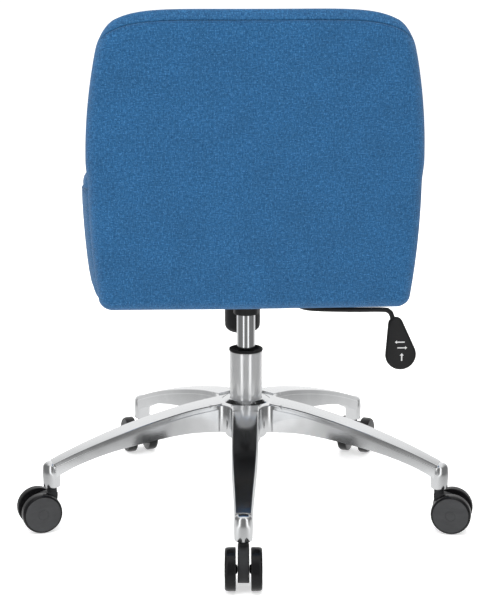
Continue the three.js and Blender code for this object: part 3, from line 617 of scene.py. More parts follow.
def puff(obj, pinned, pressure, cap, frames=20, tension=14.0):
    """Blows the cover up over its pinned seams with the cloth solver, and keeps the result."""
    before = coords(obj)
    group = obj.vertex_groups.new(name="pin")
    group.add([int(i) for i in pinned], 1.0, "REPLACE")
    cloth = obj.modifiers.new("puff", "CLOTH")
    for name, value in (("quality", 6), ("mass", 0.3), ("tension_stiffness", tension),
                        ("compression_stiffness", tension), ("shear_stiffness", 6), ("bending_stiffness", 1.2),
                        ("use_pressure", True), ("uniform_pressure_force", pressure), ("vertex_group_mass", "pin")):
        setattr(cloth.settings, name, value)
    cloth.settings.effector_weights.gravity = 0
    cloth.point_cache.frame_start = 1
    cloth.point_cache.frame_end = frames
    for number in range(1, frames + 1):
        scene.frame_set(number)
    evaluated = obj.evaluated_get(bpy.context.evaluated_depsgraph_get())
    blown = vertex_data(evaluated.to_mesh(), "co")
    evaluated.to_mesh_clear()
    obj.modifiers.clear()
    scene.frame_set(1)
    obj.vertex_groups.clear()
    moved = blown - before
    length = np.linalg.norm(moved, axis=1)
    limit = cap * MM
    soft = limit * np.tanh(length / limit)
    scale = np.where(length > 1e-9, soft / np.maximum(length, 1e-9), 0)
    put_coords(obj, before + moved * scale[:, None])


def settle(obj, limits):
    """Keeps a cover inside the room its neighbours leave: limits gives (axis, sign, mm from the swivel axis)."""
    co = coords(obj)
    for axis, sign, value in limits:
        edge = (value + AXIS[axis]) * MM
        co[:, axis] = np.minimum(co[:, axis], edge) if sign > 0 else np.maximum(co[:, axis], edge)
    put_coords(obj, co)


def relax_creases(obj, amount, seed):
    """Small hand-made unevenness of a cover that is pulled over foam, in mm."""
    co = coords(obj)
    normal = normals_of(obj)
    draw = np.random.default_rng(seed)
    wave = np.zeros(len(co))
    for _ in range(7):
        direction = draw.normal(size=3)
        direction /= np.linalg.norm(direction)
        wave += np.sin(co @ direction * draw.uniform(18, 60) + draw.uniform(0, 6.3)) / 7
    put_coords(obj, co + normal * (wave * amount * MM)[:, None])


def seam_groove(obj, rows, depth):
    """Presses rows of points in along the surface, in mm, and marks them for the painted shade that the weave puts
    into the seam.
    """
    co = coords(obj)
    normal = normals_of(obj)
    seam_shade_mark = obj.data.attributes.get("seam") or obj.data.attributes.new("seam", "FLOAT", "POINT")
    for row in rows:
        co[row] -= normal[row] * depth * MM
        for point in row:
            seam_shade_mark.data[point].value = 1.0
    put_coords(obj, co)


def stitches(name, path, normals, pitch=5.2, length=3.4, radius=0.42, lift=0.15):
    """A run of thread stitches on the seat's covers, along a path of points in metres; sizes in mm."""
    path, normals = np.asarray(path), np.asarray(normals)
    steps = np.linalg.norm(np.diff(path, axis=0), axis=1)
    along = np.concatenate([[0], np.cumsum(steps)])
    verts, faces = [], []
    buried = -0.5
    profile = ((-0.5, buried), (-0.3, lift), (0.0, lift + 0.12), (0.3, lift), (0.5, buried))
    for n in range(int(along[-1] / (pitch * MM))):
        middle = (n + 0.5) * pitch * MM
        points = []
        for part, dip in profile:
            s = middle + part * length * MM
            point = np.array([np.interp(s, along, path[:, c]) for c in range(3)])
            up = np.array([np.interp(s, along, normals[:, c]) for c in range(3)])
            points.append((point + up * dip * MM) / MM - AXIS)
        v, f = tube_data(points, [radius * 0.7, radius, radius, radius, radius * 0.7], 6, base=len(verts))
        verts += v
        faces += f
    finish_piece(new_mesh(name, verts, faces, 60), thread, "seat", None)


def dress(obj, node):
    box_uv(obj)
    finish_piece(obj, fabric, "seat", node)


def row_line(obj, row):
    """Points and normals along a row of a finished cover."""
    return coords(obj)[row], normals_of(obj)[row]


# Back shell: a firm padded panel. The top seam runs 12 mm below the edge, across the rear, with its stitches
# just under it.
SHELL_SEAM, SHELL_STITCH = 187.5, 184.7
SHELL = SoftBlock((400, SHELL_THICK, 400), (16, 18, 16), 7.0, ((), (), (around(SHELL_SEAM, 1.4),)), 6)


def shell_place(p):
    s = p[:, 0] / SHELL.half[0]
    high = BACK_TOP - CORNER_DROP * corner(s)
    height = SHELL_BOTTOM + (p[:, 2] + 200) / 400 * (high - SHELL_BOTTOM)
    width = tub_half_width(height) - 2.5 * (1 - smooth(height, WAIST_LOW, WAIST_HIGH))
    y = back_face(height) - SHELL_THICK / 2 + p[:, 1] - back_bow(height, s)
    rear = smooth(p[:, 1], 0, SHELL_THICK / 2)
    crown = 2.2 * rear * (1 - s ** 2) * (1 - np.abs(p[:, 2] / 200) ** 4)
    roll = 9.0 * rear * smooth(high - height, 46, 0) ** 2
    return np.stack([s * width, y + crown - roll, height], axis=1)


shell = new_mesh("back_shell_cover", shell_place(SHELL.points), SHELL.faces, 80)
seam_groove(shell, [SHELL.across(-1, SHELL_SEAM)], 1.8)
seam_groove(shell, [SHELL.ring(1, 0)], 1.2)
relax_creases(shell, 0.5, 3)
stitch_line = row_line(shell, SHELL.across(-1, SHELL_STITCH))
subdivide(shell)
dress(shell, "back_shell")
stitches("back_shell_topstitch", *stitch_line, 4.6, 3.0, 0.36, 0.05)

# Arms: firm, with a seam along the top's outer edge.
WING_SEAM, WING_STITCH = 57, 53.4
WING = SoftBlock((WING_THICK, 420, 150), (15, 24, 16), 8.0, ((), (), (around(WING_SEAM, 1.8),)), 5)


def wing_place(side):
    def place(p):
        forward = 0.5 - p[:, 1] / 420
        top = lerp(556, 473, smooth(forward, 0.05, 1))
        height = SHELL_BOTTOM + (p[:, 2] + 75) / 150 * (top - SHELL_BOTTOM)
        rear = back_face(height) - SHELL_THICK - back_bow(height, 1) - 1.5
        depth = lerp(rear, WING_FRONT, forward)
        outer = wing_outer(depth) - lower_inset(height)
        inner = wing_outer(depth) - WING_THICK
        across = inner + (side * p[:, 0] + WING_THICK / 2) / WING_THICK * (outer - inner)
        return np.stack([side * across, depth, height], axis=1)
    return place


for side, word in ((1, "left"), (-1, "right")):
    wing = new_mesh(f"wing_{word}_cover", wing_place(side)(WING.points), WING.faces, 80)
    ring, below = WING.ring(2, WING_SEAM), WING.ring(2, WING_STITCH)
    puff(wing, ring, 2.0, 2.5, 14, 20)
    settle(wing, [(2, -1, SHELL_BOTTOM)])
    seam_groove(wing, [ring], 1.2)
    line = row_line(wing, below + below[:1])
    subdivide(wing)
    dress(wing, f"wing_{word}")
    stitches(f"wing_{word}_topstitch", *line, radius=0.4)

# Seat cushion: boxed, with seams round its upper and lower edges.
SEAT_SEAMS, SEAT_STITCHES = (20, -22), (16, -26)
SEAT = SoftBlock((380, 452, 70.5), (24, 26, 26), 9.0, ((), (), [around(z, 2.0) for z in SEAT_SEAMS]), 5)


def seat_place(p):
    s = p[:, 0] / 190
    depth = -36 + p[:, 1] * 0.985
    width = wing_outer(np.maximum(depth, WING_FRONT)) - WING_THICK - 3.5
    puffed = 5 * (1 - s * s) * (1 - (p[:, 1] / 226) ** 4) * (p[:, 2] > 0)
    return np.stack([s * width, depth, 421.75 + p[:, 2] * 0.97 + puffed], axis=1)


seat = new_mesh("seat_cushion_cover", seat_place(SEAT.points), SEAT.faces, 80)
upper, lower = (SEAT.ring(2, z) for z in SEAT_SEAMS)
puff(seat, upper + lower, 4.0, 9.0)
settle(seat, [(2, -1, 386.3), (2, 1, 466), (1, -1, -268)])
seam_groove(seat, [upper, lower], 0.8)
seat_lines = [row_line(seat, r + r[:1]) for r in (SEAT.ring(2, z) for z in SEAT_STITCHES)]
subdivide(seat)
relax_creases(seat, 0.8, 5)
dress(seat, "seat_cushion")
stitches("seat_cushion_topstitch", *seat_lines[0])
stitches("seat_cushion_lowstitch", *seat_lines[1])

# Back cushion: boxed, with a seam round its front edge and a sewn channel across the small of the back.
PAD_BOTTOM, PAD_TOP = 465, 764
PAD_SEAM, PAD_EDGE_STITCH, PAD_CHANNEL, PAD_CHANNEL_STITCH = -8, -4.4, -35, -39.4
PAD = SoftBlock((380, 50, 300), (40, 20, 36), 9.0, ((), (around(PAD_SEAM, 1.8),), (around(PAD_CHANNEL, 2.2),)), 5)


def pad_place(p):
    s = p[:, 0] / 190
    high = PAD_TOP - 0.8 * CORNER_DROP * corner(s)
    height = PAD_BOTTOM + (p[:, 2] + 150) / 300 * (high - PAD_BOTTOM)
    wide = smooth(height, 562, 637)
    width = lerp(186, 203, wide) - 0.04 * np.maximum(0, height - 637) - 1.5
    front = back_face(height) - SHELL_THICK - 2.0 - back_bow(height, s)
    return np.stack([s * width, front - 25 + p[:, 1] * 0.97, height], axis=1)


pad = new_mesh("back_cushion_cover", pad_place(PAD.points), PAD.faces, 80)
edge, channel = PAD.ring(1, PAD_SEAM), PAD.across(0, PAD_CHANNEL)
rear_side = [v for key, v in PAD.index.items() if key[1] == PAD.count[1] - 1]
puff(pad, edge + channel + rear_side, 4.0, 9.0)
seam_groove(pad, [edge], 0.8)
seam_groove(pad, [channel], 2.0)
edge_stitch = PAD.ring(1, PAD_EDGE_STITCH)
pad_lines = [row_line(pad, r) for r in (edge_stitch + edge_stitch[:1], PAD.across(0, PAD_CHANNEL_STITCH, 6))]
subdivide(pad)
relax_creases(pad, 0.8, 9)
dress(pad, "back_cushion")
stitches("back_cushion_edgestitch", *pad_lines[0])
stitches("back_cushion_channelstitch", *pad_lines[1])


# -------------------------------------------------------------------- star base
# BASE_TURN and the casters' headings are in degrees. TRAIL is how far the axle lies behind the stem.
BASE_TURN, STEM_CIRCLE, TRAIL, WHEEL_RADIUS = 3.85, 305.0, 20.0, 30.0
LEG_ANGLES = [math.radians(90 + 72 * k - BASE_TURN) for k in range(5)]
HEADINGS = [LEG_ANGLES[k] + math.radians(turn) for k, turn in enumerate((1, 7, 17, -15, 3))]
# Along a leg: (distance from the axis, underside, top, half width).
LEG_STATIONS = [(44, 130.5, 175.5, 21), (90, 132.4, 169, 19.4), (135, 128.5, 159.4, 18.8), (180, 121.4, 147.8, 18),
                (222, 112.4, 135, 16.2), (262, 99.6, 120.8, 13.8), (288, 88, 110.4, 12.4), (304, 79, 103.6, 11.6)]


def turn_about(points, angle):
    points = np.asarray(points, float)
    c, s = math.cos(angle), math.sin(angle)
    x, y = points[:, 0], points[:, 1]
    return np.stack([x * c - y * s, x * s + y * c, points[:, 2]], axis=1)


def mirrored(r, right):
    """A leg's section at radius r, from the outline of its right half."""
    return [(r, y, z) for y, z in right + [(-y, z) for y, z in reversed(right[:-1])]]


def leg_section(r, under, top, half):
    """Side wall, a step below the polished band, and a softly crowned top."""
    right = rounded([(half + 0.5, under), (half + 0.4, top - 8.2), (half - 0.2, top - 7.4),
                     (half - 0.4, top - 0.4), (0, top + 0.3)], [0, 0.7, 0.5, 1.7, 0], 5)
    return mirrored(r, right)


def leg_hollow_section(r, under, top, half):
    inner = half - 3
    right = rounded([(inner, under - 9), (inner - 1, top - 9), (inner - 4, top - 5.5), (0, top - 5.5)],
                    [0, 2.0, 2.0, 0], 4)
    return mirrored(r, right)


def loft(name, sections, angle):
    length = len(sections[0])
    verts = turn_about([p for section in sections for p in section], angle)
    return new_mesh(name, verts, loft_faces(len(sections), length), 34)


def hub_outline(steps=16):
    """Plan of the hub: five leg roots joined by round crotches."""
    root_half, crotch, reach = 20.0, 21.0, 63.0
    half = math.pi / 5
    centre = (root_half + crotch) / math.sin(half)
    out = []
    for leg in LEG_ANGLES:
        c, s = math.cos(leg), math.sin(leg)
        out += [(reach * c + root_half * s, reach * s - root_half * c),
                (reach * c - root_half * s, reach * s + root_half * c)]
        middle = leg + half
        x, y = centre * math.cos(middle), centre * math.sin(middle)
        start, end = leg - math.pi / 2, leg + 2 * half + math.pi / 2 - 2 * math.pi
        for k in range(1, steps):
            angle = start + (end - start) * k / steps
            out.append((x + crotch * math.cos(angle), y + crotch * math.sin(angle)))
    return out


stations = catmull(LEG_STATIONS, 46)
base = new_mesh("star_casting", *prism(hub_outline(), 130.5, 173.4), 32)
bevel(base, 1.6)
parts, holes = [], []
SOCKET = rounded([(0, 64.5), (12.5, 64.5), (13.3, 87), (12.2, 99), (7.5, 102.8), (0, 103.6)],
                 [0, 1.6, 3, 4, 3, 0], 5)
for k, angle in enumerate(LEG_ANGLES):
    parts.append(loft(f"leg_{k}", [leg_section(*s) for s in stations], angle))
    hollow = [s for s in stations if 62 < s[0] < 286]
    holes.append(loft(f"hollow_{k}", [leg_hollow_section(*s) for s in hollow], angle))
    at = (STEM_CIRCLE * math.cos(angle), STEM_CIRCLE * math.sin(angle))  # the stem's place
    parts.append(lathe(f"socket_{k}", SOCKET, 64, at))
    holes.append(lathe(f"bore_{k}", [(0, 60), (5.4, 60), (5.4, 96), (0, 96)], 32, at))
parts.append(lathe("boss", rounded([(0, 117), (31, 117), (31, 170), (0, 170)], [0, 1.5, 0, 0]), 96))
parts.append(lathe("rim", rounded([(0, 160), (38, 160), (38, 173), (28.5, 178), (0, 178)], [0, 0, 1.5, 2, 0]), 96))
holes.append(lathe("taper", [(0, 110), (23.2, 110), (24.2, 180), (0, 180)], 96))
boolean(base, parts, "UNION")
boolean(base, holes, "DIFFERENCE")
shade(base.data, 30)
finish_piece(base, aluminium, "base", "star_base")


# --------------------------------------------------------------------- gas lift
BORE = 5.35  # round the rods and bolts of 10 mm
finish_piece(lathe("lift_outer_tube", rounded([
    (BORE, 79), (17, 79), (17, 99), (22.4, 109), (22.85, 117), (23.85, 178), (23.85, 180.4), (25, 180.7),
    (25, 251), (22.6, 251), (22.6, 178), (20.6, 111), (14.8, 99), (14.8, 84), (BORE, 84)],
    [0, 1.5, 3, 3, 0.5, 0.5, 0.1, 0.1, 0.9, 0.6, 0.5, 2, 2, 1, 0], 3), 128),
    tube_steel, "base", "stand_tube")
finish_piece(lathe("lift_collar", rounded([
    (15, 251.35), (25.9, 251.35), (25.9, 254.4), (20.5, 254.4), (16.5, 252.4), (15, 252.4)],
    [0, 0.6, 0.9, 1.2, 0.6, 0], 4), 96), matt_black, "base", "column_collar")
finish_piece(lathe("lift_inner_tube", rounded([
    (BORE, 153), (14, 153), (14, 309), (13.2, 344), (3.4, 344), (3.4, 330), (12.2, 330), (12.2, 165), (BORE, 165)],
    [0, 1.0, 2, 0.5, 0.3, 0, 0, 0, 0], 3), 128), chrome, "mechanism", "pressure_tube")
finish_piece(lathe("lift_taper_sleeve", rounded([
    (14.35, 309), (19, 309), (19, 343), (13.55, 343)], [0, 1.2, 0.8, 0], 4), 96),
    paint, "mechanism", "taper_sleeve")

# ------------------------------------------------------------- mechanism details
KNOB_AT = (0.0, -100.0)
knob = lathe("tension_knob_cover", rounded([
    (BORE, 259), (9, 259), (12, 256), (20.5, 256.2), (27.4, 262.5), (28, 270), (28, 302), (24, 302), (23, 267.65),
    (BORE, 267.65)], [0, 0.6, 1.2, 7, 6, 3, 1.2, 0.8, 1, 0], 6), 96, KNOB_AT)
finish_piece(knob, matt_black, "knob", "tension_knob")

HOUSING_BOTTOM, GAP = 325.5, 0.35
SPRING_TURNS, SPRING_WIRE, SPRING_RADIUS, SPRING_BOTTOM = 5, 1.7, 15, 275
rise = HOUSING_BOTTOM - GAP - SPRING_WIRE - SPRING_BOTTOM
coil = [(SPRING_RADIUS * math.cos(2 * math.pi * t), KNOB_AT[1] + SPRING_RADIUS * math.sin(2 * math.pi * t),
         SPRING_BOTTOM + rise * t / SPRING_TURNS) for t in np.linspace(0, SPRING_TURNS, SPRING_TURNS * 30 + 1)]
spring = tube("tension_spring_coil", coil, SPRING_WIRE, 10)
finish_piece(spring, spring_steel, "mechanism", "tension_spring")
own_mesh(spring)

LEVER_Y, WALL_Z, FINGER_Z, BEND = 18.0, 337.0, 355.5, -219.0
ROUTE = [(13, 0, FINGER_Z), (0, 0, FINGER_Z), (-16, 0.5, FINGER_Z), (-24, 9, FINGER_Z - 9)]
ROUTE += [(x, LEVER_Y, z) for x, z in (
    (-31, WALL_Z), (-37, WALL_Z), (-44, WALL_Z), (-52, WALL_Z), (-60, WALL_Z), (-67, WALL_Z), (-76, WALL_Z - 9),
    (-86, WALL_Z - 15.5), (-110, WALL_Z - 18.6), (-160, WALL_Z - 20.3), (-206, WALL_Z - 20.8),
    (-216, WALL_Z - 23.5), (BEND - 1.5, WALL_Z - 30), (BEND - 4.5, 291))]
finish_piece(tube("lever_rod_bar", catmull(ROUTE, 220), 3.75, 20), satin_black, "lever", "lever_rod")


def paddle_outline(steps=28):
    """A drop: a small round top, straight flanks and a large round foot, as (x, z) points."""
    top, bottom, inner, outer, head = 305.0, 225.0, -211.5, -259.0, 11.5
    foot = (inner - outer) / 2
    foot_at = np.array([(inner + outer) / 2, bottom + foot * 0.86])
    head_at = np.array([BEND - 7.5, top - head])
    line = head_at - foot_at
    lean = math.atan2(line[1], line[0])
    spread = math.acos((foot - head) / np.linalg.norm(line))
    out = []
    for centre, radius, start, end in ((head_at, head, lean - spread, lean + spread),
                                       (foot_at, foot, lean + spread, lean - spread + 2 * math.pi)):
        for k in range(steps + 1):
            angle = start + (end - start) * k / steps
            out.append(centre + radius * np.array([math.cos(angle), math.sin(angle)]))
    return np.array(out)


def inset_outline(outline, distance):
    ahead = np.roll(outline, -1, 0) - np.roll(outline, 1, 0)
    normal = np.stack([ahead[:, 1], -ahead[:, 0]], axis=1)
    normal /= np.linalg.norm(normal, axis=1)[:, None]
    return outline - normal * distance


def paddle():
    outline = paddle_outline()
    # Rows from face to face: (how far in from the outline, half thickness).
    layers = [(8.0, 4.0), (5.4, 4.42), (4.0, 4.5), (2.6, 4.3), (1.5, 3.75), (0.7, 2.9), (0.15, 1.6), (0.0, 0.0)]
    rows = layers + [(d, -y) for d, y in reversed(layers[:-1])]
    verts = [(x, LEVER_Y + y, z) for distance, y in rows for x, z in inset_outline(outline, distance)]
    return new_mesh("lever_paddle_grip", verts, loft_faces(len(rows), len(outline)), 60)


finish_piece(paddle(), satin_black, "lever", "lever_paddle")


def arrow(name, centre, angle, length, width):
    """A plain printed arrow on the paddle's rear face; angle 0 points to +X."""
    head, shaft = width * 0.62, width * 0.16
    shape = [(length / 2, 0), (length / 2 - head, width / 2), (length / 2 - head, shaft), (-length / 2, shaft),
             (-length / 2, -shaft), (length / 2 - head, -shaft), (length / 2 - head, -width / 2)]
    c, s = math.cos(angle), math.sin(angle)
    flat = [(centre[0] + x * c - z * s, centre[1] + x * s + z * c) for x, z in shape]
    made = new_mesh(name, *prism(flat, LEVER_Y + 3.9, LEVER_Y + 4.58, upright=False), 20)
    finish_piece(made, print_white, "lever", None)


arrow("arrow_push_in", (-233.0, 266.0), 0.0, 15.0, 5.2)
arrow("arrow_pull_out", (-237.0, 257.0), math.pi, 15.0, 5.2)
arrow("arrow_lift_up", (-236.5, 242.5), math.pi / 2, 12.0, 6.0)


# ------------------------------------------------------------------ dust cover
def dust_cloth():
    """Thin cloth stapled under the pan, cut open round the steel plate, slack between its staples."""
    side, front, rear, radius = 172, -234, 176, 36  # the outer edge and its corners
    hole_side, hole_front, hole_rear = 96, -132, 100  # the cut round the plate
    level, sag, edge_width = 373.3, 0.9, 14
    xs = sorted(set(np.linspace(-side, -hole_side, 12).tolist() + np.linspace(-hole_side, hole_side, 26).tolist()
                    + np.linspace(hole_side, side, 12).tolist()))
    ys = sorted(set(np.linspace(front, hole_front, 15).tolist() + np.linspace(hole_front, hole_rear, 30).tolist()
                    + np.linspace(hole_rear, rear, 12).tolist()))
    index, verts, faces = {}, [], []
    for i, x in enumerate(xs):
        for j, y in enumerate(ys):
            cx, cy = np.clip(x, radius - side, side - radius), np.clip(y, front + radius, rear - radius)
            out = math.hypot(x - cx, y - cy)
            in_corner = abs(x) > side - radius and not front + radius < y < rear - radius
            inward = radius / out if in_corner and out > radius else 1
            edge = min(side - abs(x), y - front, rear - y)
            hole = max(abs(x) - hole_side, hole_front - y, y - hole_rear)
            slack = sag * min(1, max(0, edge) / edge_width) * min(1, max(0, hole) / edge_width)
            ripple = math.sin(x * 0.11 + 1.7 * math.sin(y * 0.03)) * math.sin(y * 0.09 + x * 0.02)
            index[i, j] = len(verts)
            verts.append((cx + (x - cx) * inward, cy + (y - cy) * inward, level - slack * (0.5 + 0.5 * ripple)))
    for i in range(len(xs) - 1):
        for j in range(len(ys) - 1):
            x, y = (xs[i] + xs[i + 1]) / 2, (ys[j] + ys[j + 1]) / 2
            if abs(x) < hole_side and hole_front < y < hole_rear:
                continue
            faces.append([index[i, j], index[i + 1, j], index[i + 1, j + 1], index[i, j + 1]])
    used = sorted({v for face in faces for v in face})
    renumber = {v: n for n, v in enumerate(used)}
    made = new_mesh("dust_cloth", [verts[v] for v in used], [[renumber[v] for v in f] for f in faces], 60)
    apply_modifiers(modify(made, "SOLIDIFY", thickness=0.5 * MM))
    shade(made.data, 60)
    box_uv(made)
    return made


cloth = dust_cloth()
finish_piece(cloth, liner, "seat", "dust_cover")


def staples():
    spots = [(x, y, 0.0) for x in np.linspace(-128, 128, 9) for y in (-229, 171)]
    spots += [(x, y, math.pi / 2) for x in (-167, 167) for y in np.linspace(-190, 132, 11)]
    verts, faces = [], []
    for x, y, angle in spots:
        c, s = math.cos(angle + 0.12), math.sin(angle + 0.12)
        path = [(x + t * c, y + t * s, z) for t, z in ((-5.6, 373.5), (-5.5, 372.2), (5.5, 372.2), (5.6, 373.5))]
        v, f = tube_data(path, 0.45, 8, base=len(verts))
        verts += v
        faces += f
    finish_piece(new_mesh("dust_cloth_staples", verts, faces, 50), zinc, "seat", None)


staples()


# --------------------------------------------------------------------- casters
def on_stem_circle(k):
    return np.array([STEM_CIRCLE * math.cos(LEG_ANGLES[k]), STEM_CIRCLE * math.sin(LEG_ANGLES[k]), 0.0])


def on_caster(points, k):
    """Moves points drawn with the stem on Z and the wheels trailing to +X onto caster k."""
    return turn_about(points, HEADINGS[k]) + on_stem_circle(k)


AXLE_BORE = 4.35
WHEEL = rounded([(AXLE_BORE, 22.6), (AXLE_BORE, 8.4), (5.6, 8.4), (6.5, 10.4), (29.3, 10.4), (30, 11.6), (30, 21.0),
                 (29.2, 24.0), (27.6, 25.6), (27.0, 25.6), (26.8, 24.9), (26.4, 25.3), (8.0, 26.0), (7.4, 25.3),
                 (6.8, 25.6), (0, 25.9)],
                [0, 0, 0.3, 1, 0.6, 0.6, 2.5, 1.6, 0.4, 0.1, 0.1, 0.3, 0.3, 0.1, 0.3, 0], 3)
DISC_EDGE = 26.9  # the grey disc lies inside this radius


def wheel(k, side, word):
    def place(r, across, angle):
        return TRAIL + r * math.cos(angle), side * across, WHEEL_RADIUS + r * math.sin(angle)
    verts, faces, joins = revolve([(0, 22.6)] + WHEEL, 72, place)
    on_disc = [int(max(a[0], b[0]) < DISC_EDGE and min(a[1], b[1]) > 23) for a, b in joins]
    made = new_mesh(f"wheel_{k + 1}_{word}_roller", on_caster(verts, k), faces, 30)
    finish_piece(made, gloss_black, f"roller_{k + 1}_{word}", f"wheel_{k + 1}_{word}")
    made.data.materials.append(disc_grey)
    made.data.polygons.foreach_set("material_index", on_disc)


def bend(start, middle, end):
    """Points on a quadratic curve, both ends included."""
    start, middle, end = (np.array(p, float) for p in (start, middle, end))
    return [tuple((1 - t) ** 2 * start + 2 * t * (1 - t) * middle + t * t * end) for t in np.linspace(0, 1, 12)]


def fork_outline():
    """Side view of a caster's body: round at the foot, with a swept neck up to the stem."""
    foot = [(TRAIL + 19 * math.cos(t), WHEEL_RADIUS + 19 * math.sin(t))
            for t in np.linspace(-0.86 * math.pi, 0.34 * math.pi, 30)]
    return foot + bend(foot[-1], (20, 56), (7.2, 57))[1:] + bend((-7.2, 57), (-7, 38), (-1, 26))


def fork(k):
    verts, faces = prism(fork_outline(), -8.0, 8.0, upright=False)
    made = new_mesh(f"caster_fork_{k + 1}", on_caster(verts, k), faces, 40)
    bevel(made, 1.3)
    at = on_stem_circle(k)[:2]
    neck = lathe("neck", rounded([(0, 50), (7.4, 50), (7.4, 62.1), (0, 62.1)], [0, 0, 0.8, 0], 3), 48, at)
    stem_hole = lathe("stem_hole", [(0, 37.5), (BORE, 37.5), (BORE, 70), (0, 70)], 32, at)
    ring = [(TRAIL + AXLE_BORE * math.cos(a), y, WHEEL_RADIUS + AXLE_BORE * math.sin(a))
            for y in (-12, 12) for a in np.linspace(0, 2 * math.pi, 32, endpoint=False)]
    axle_hole = new_mesh("axle_hole", on_caster(ring, k), loft_faces(2, 32), 40)
    boolean(made, [neck], "UNION")
    boolean(made, [stem_hole, axle_hole], "DIFFERENCE")
    shade(made.data, 35)
    finish_piece(made, nylon, f"caster_{k + 1}", f"caster_body_{k + 1}")


for k in range(5):
    for side, word in ((1, "left"), (-1, "right")):
        wheel(k, side, word)
    fork(k)
    at = on_stem_circle(k)[:2]
    stem = lathe(f"caster_stem_{k + 1}_pin", rounded([
        (0, 38), (5, 38), (5, 62.55), (7.4, 62.55), (7.4, 64.15), (5, 64.15), (5, 93), (4, 94.5), (0, 94.5)],
        [0, 0.8, 0, 0.4, 0.4, 0, 0.5, 0.5, 0], 3), 48, at)
    finish_piece(stem, zinc, "base", f"caster_stem_{k + 1}")


# ------------------------------------------------------- carried-over CAD nodes
# The material for each slot of the record, which the CAD solids without a piece of their own keep.
CARRIED = {
    "upholstery_fabric": fabric, "liner_cloth": liner, "plywood": plywood, "cast_aluminium": aluminium,
    "chrome_plate": chrome, "satin_tube": tube_steel, "black_steel": paint, "zinc_steel": zinc,
    "spring_steel": spring_steel, "black_plastic": matt_black, "gloss_black_plastic": gloss_black, "nylon": nylon,
}
for row in frame["record"]["subparts"]:
    node = frame["nodes"][row["node"]]
    node.data.materials.clear()
    node.data.materials.append(CARRIED[row["material_slot"]])


# ------------------------------------------------------------- floor and lights
def floor():
    size = 30.0
    made = linked_mesh("floor", [(-size, -size, 0), (size, -size, 0), (size, size, 0), (-size, size, 0)],
                       [(0, 1, 2, 3)])
    made.location.z = -0.0003
    n = new_material("pale_floor")
    tone = n.span(n.noise(n.place(), 0.8, 3.0), 0.3, 0.7, 0.9, 0.93)
    n.set(Base_Color=n.node("ShaderNodeCombineXYZ", None, X=tone, Y=tone, Z=tone).outputs[0], Roughness=0.75)
    n.set(Emission_Color=grey(1.0), Emission_Strength=FLOOR_GLOW, Specular_IOR_Level=0.2)
    made.data.materials.append(n.owner)
    made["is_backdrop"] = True


def world():
    """Studio light for the matt surfaces, dimmer from the sides. In reflections the tent takes its place."""
    made = bpy.data.worlds.new("studio")
    scene.world = made
    n = Nodes(made, "Background")
    direction = n.node("ShaderNodeTexCoord").outputs["Generated"]
    parts = n.node("ShaderNodeSeparateXYZ", None, Vector=direction)
    flat = n.length(parts.outputs[0], parts.outputs[1])
    side = n.math("DIVIDE", n.math("ABSOLUTE", parts.outputs[0]), n.math("MAXIMUM", flat, 0.01))
    stops = [(0.0, 1.0), (0.42, 0.92), (0.66, 0.42), (0.84, 0.36), (1.0, 0.9)]
    n.set(Color=n.ramp(side, [(at, grey(value)) for at, value in stops], "EASE"), Strength=WORLD_LIGHT)
    made.cycles_visibility.glossy = False


def area_light(name, place, size, power):
    data = bpy.data.lights.new(name, "AREA")
    data.shape = "RECTANGLE"
    data.size, data.size_y = size
    data.energy = power
    made = bpy.data.objects.new(name, data)
    made.location = place
    made.rotation_euler = (Vector(MIDDLE) - Vector(place)).to_track_quat("-Z", "Y").to_euler()
    made.visible_glossy = False
    scene.collection.objects.link(made)


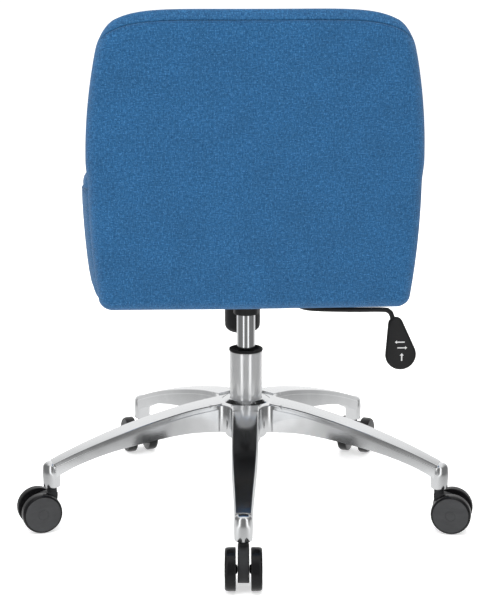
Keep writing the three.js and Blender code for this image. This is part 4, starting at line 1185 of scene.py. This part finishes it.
def reflection_tent():
    """A closed studio tent round the chair that only reflections see: pale behind and above, dim with two
    bright strips on the camera's side."""
    count, radius, top = 120, 0.8, 1.6
    centre = AXIS * MM
    verts, faces = [], []
    for i in range(count):
        angle = 2 * math.pi * i / count
        x, y = centre[0] + radius * math.cos(angle), centre[1] + radius * math.sin(angle)
        verts += [(x, y, 0.0005), (x, y, top)]
        j = (i + 1) % count
        faces.append((2 * i, 2 * j, 2 * j + 1, 2 * i + 1))
    faces += [tuple(2 * i for i in range(count)), tuple(2 * i + 1 for i in range(count))]
    made = linked_mesh("reflection_tent", verts, faces)
    n = new_material("tent_cloth")
    parts = n.node("ShaderNodeSeparateXYZ", None, Vector=n.place())
    x = n.math("SUBTRACT", parts.outputs[0], centre[0])
    y = n.math("SUBTRACT", parts.outputs[1], centre[1])
    away = n.length(x, y)
    azimuth = n.math("ARCTAN2", x, y)
    off_strip = n.math("SUBTRACT", n.math("ABSOLUTE", n.math("SUBTRACT", azimuth, VIEW_TURN)), STRIP_TURN)
    spread = n.math("POWER", n.math("DIVIDE", off_strip, STRIP_WIDTH), 2.0)
    strip = n.math("EXPONENT", n.math("MULTIPLY", spread, -1.0))
    behind = n.span(n.math("COSINE", n.math("SUBTRACT", azimuth, VIEW_TURN)), -0.2, -0.85, TENT_DIM, TENT_PALE)
    wall = n.math("ADD", behind, n.math("MULTIPLY", strip, STRIP_LIGHT))
    high = n.span(parts.outputs[2], 0.5, 1.3, 0.0, 1.0)
    near = n.math("MULTIPLY", n.span(away, 0.7, 0.3, 0.0, 1.0), n.span(parts.outputs[2], 0.01, 0.02, 1.0, 0.0))
    value = wall
    for share, light in ((high, TENT_TOP), (near, TENT_FLOOR)):
        value = n.math("ADD", n.math("MULTIPLY", value, n.math("SUBTRACT", 1.0, share)),
                       n.math("MULTIPLY", share, light))
    glow = n.node("ShaderNodeEmission", None, Strength=value).outputs[0]
    n.tree.links.new(glow, n.tree.nodes["Material Output"].inputs["Surface"])
    made.data.materials.append(n.owner)
    for kind in ("camera", "diffuse", "transmission", "volume_scatter", "shadow"):
        setattr(made, f"visible_{kind}", False)
    made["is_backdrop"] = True


VIEW_TURN = math.radians(3.2)  # the camera stands this far round from +Y
WORLD_LIGHT, FLOOR_GLOW = 1.0, 0.5
STRIP_TURN, STRIP_WIDTH, STRIP_LIGHT = math.radians(29.0), math.radians(8.0), 1.3
TENT_DIM, TENT_PALE, TENT_TOP, TENT_FLOOR = 0.19, 0.95, 0.85, 0.8
floor()
world()
reflection_tent()
MIDDLE = (-0.0065, -0.0214, 0.42)
area_light("key", (1.9, 2.2, 2.7), (1.8, 1.8), 42)
area_light("fill", (-2.2, 1.9, 1.5), (1.6, 1.6), 4)
area_light("top", (0.1, 0.8, 3.2), (2.4, 2.4), 58)
area_light("front", (-0.6, -2.6, 1.9), (2.0, 1.6), 30)

# --------------------------------------------------------------------- camera
VIEW_DOWN, VIEW_REACH, VIEW_HEIGHT = math.radians(13.5), 2.384, 0.902
camera_data = bpy.data.cameras.new("camera")
camera_data.lens = 96.96
camera_data.sensor_width = 36.0
camera = bpy.data.objects.new("camera", camera_data)
camera.location = (AXIS[0] * MM + VIEW_REACH * math.sin(VIEW_TURN),
                   AXIS[1] * MM + VIEW_REACH * math.cos(VIEW_TURN), VIEW_HEIGHT)
AIM_ASIDE = math.atan(1 / 1616)  # it looks this little to one side of the swivel axis
heading = VIEW_TURN - AIM_ASIDE
look = Vector((-math.sin(heading) * math.cos(VIEW_DOWN), -math.cos(heading) * math.cos(VIEW_DOWN),
               -math.sin(VIEW_DOWN)))
camera.rotation_euler = look.to_track_quat("-Z", "Y").to_euler()
scene.collection.objects.link(camera)
scene.camera = camera

as_lists = lambda box: [[float(v) for v in corner_point] for corner_point in box]
{"cad": as_lists(CAD_BOX), "visual": as_lists(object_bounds())}
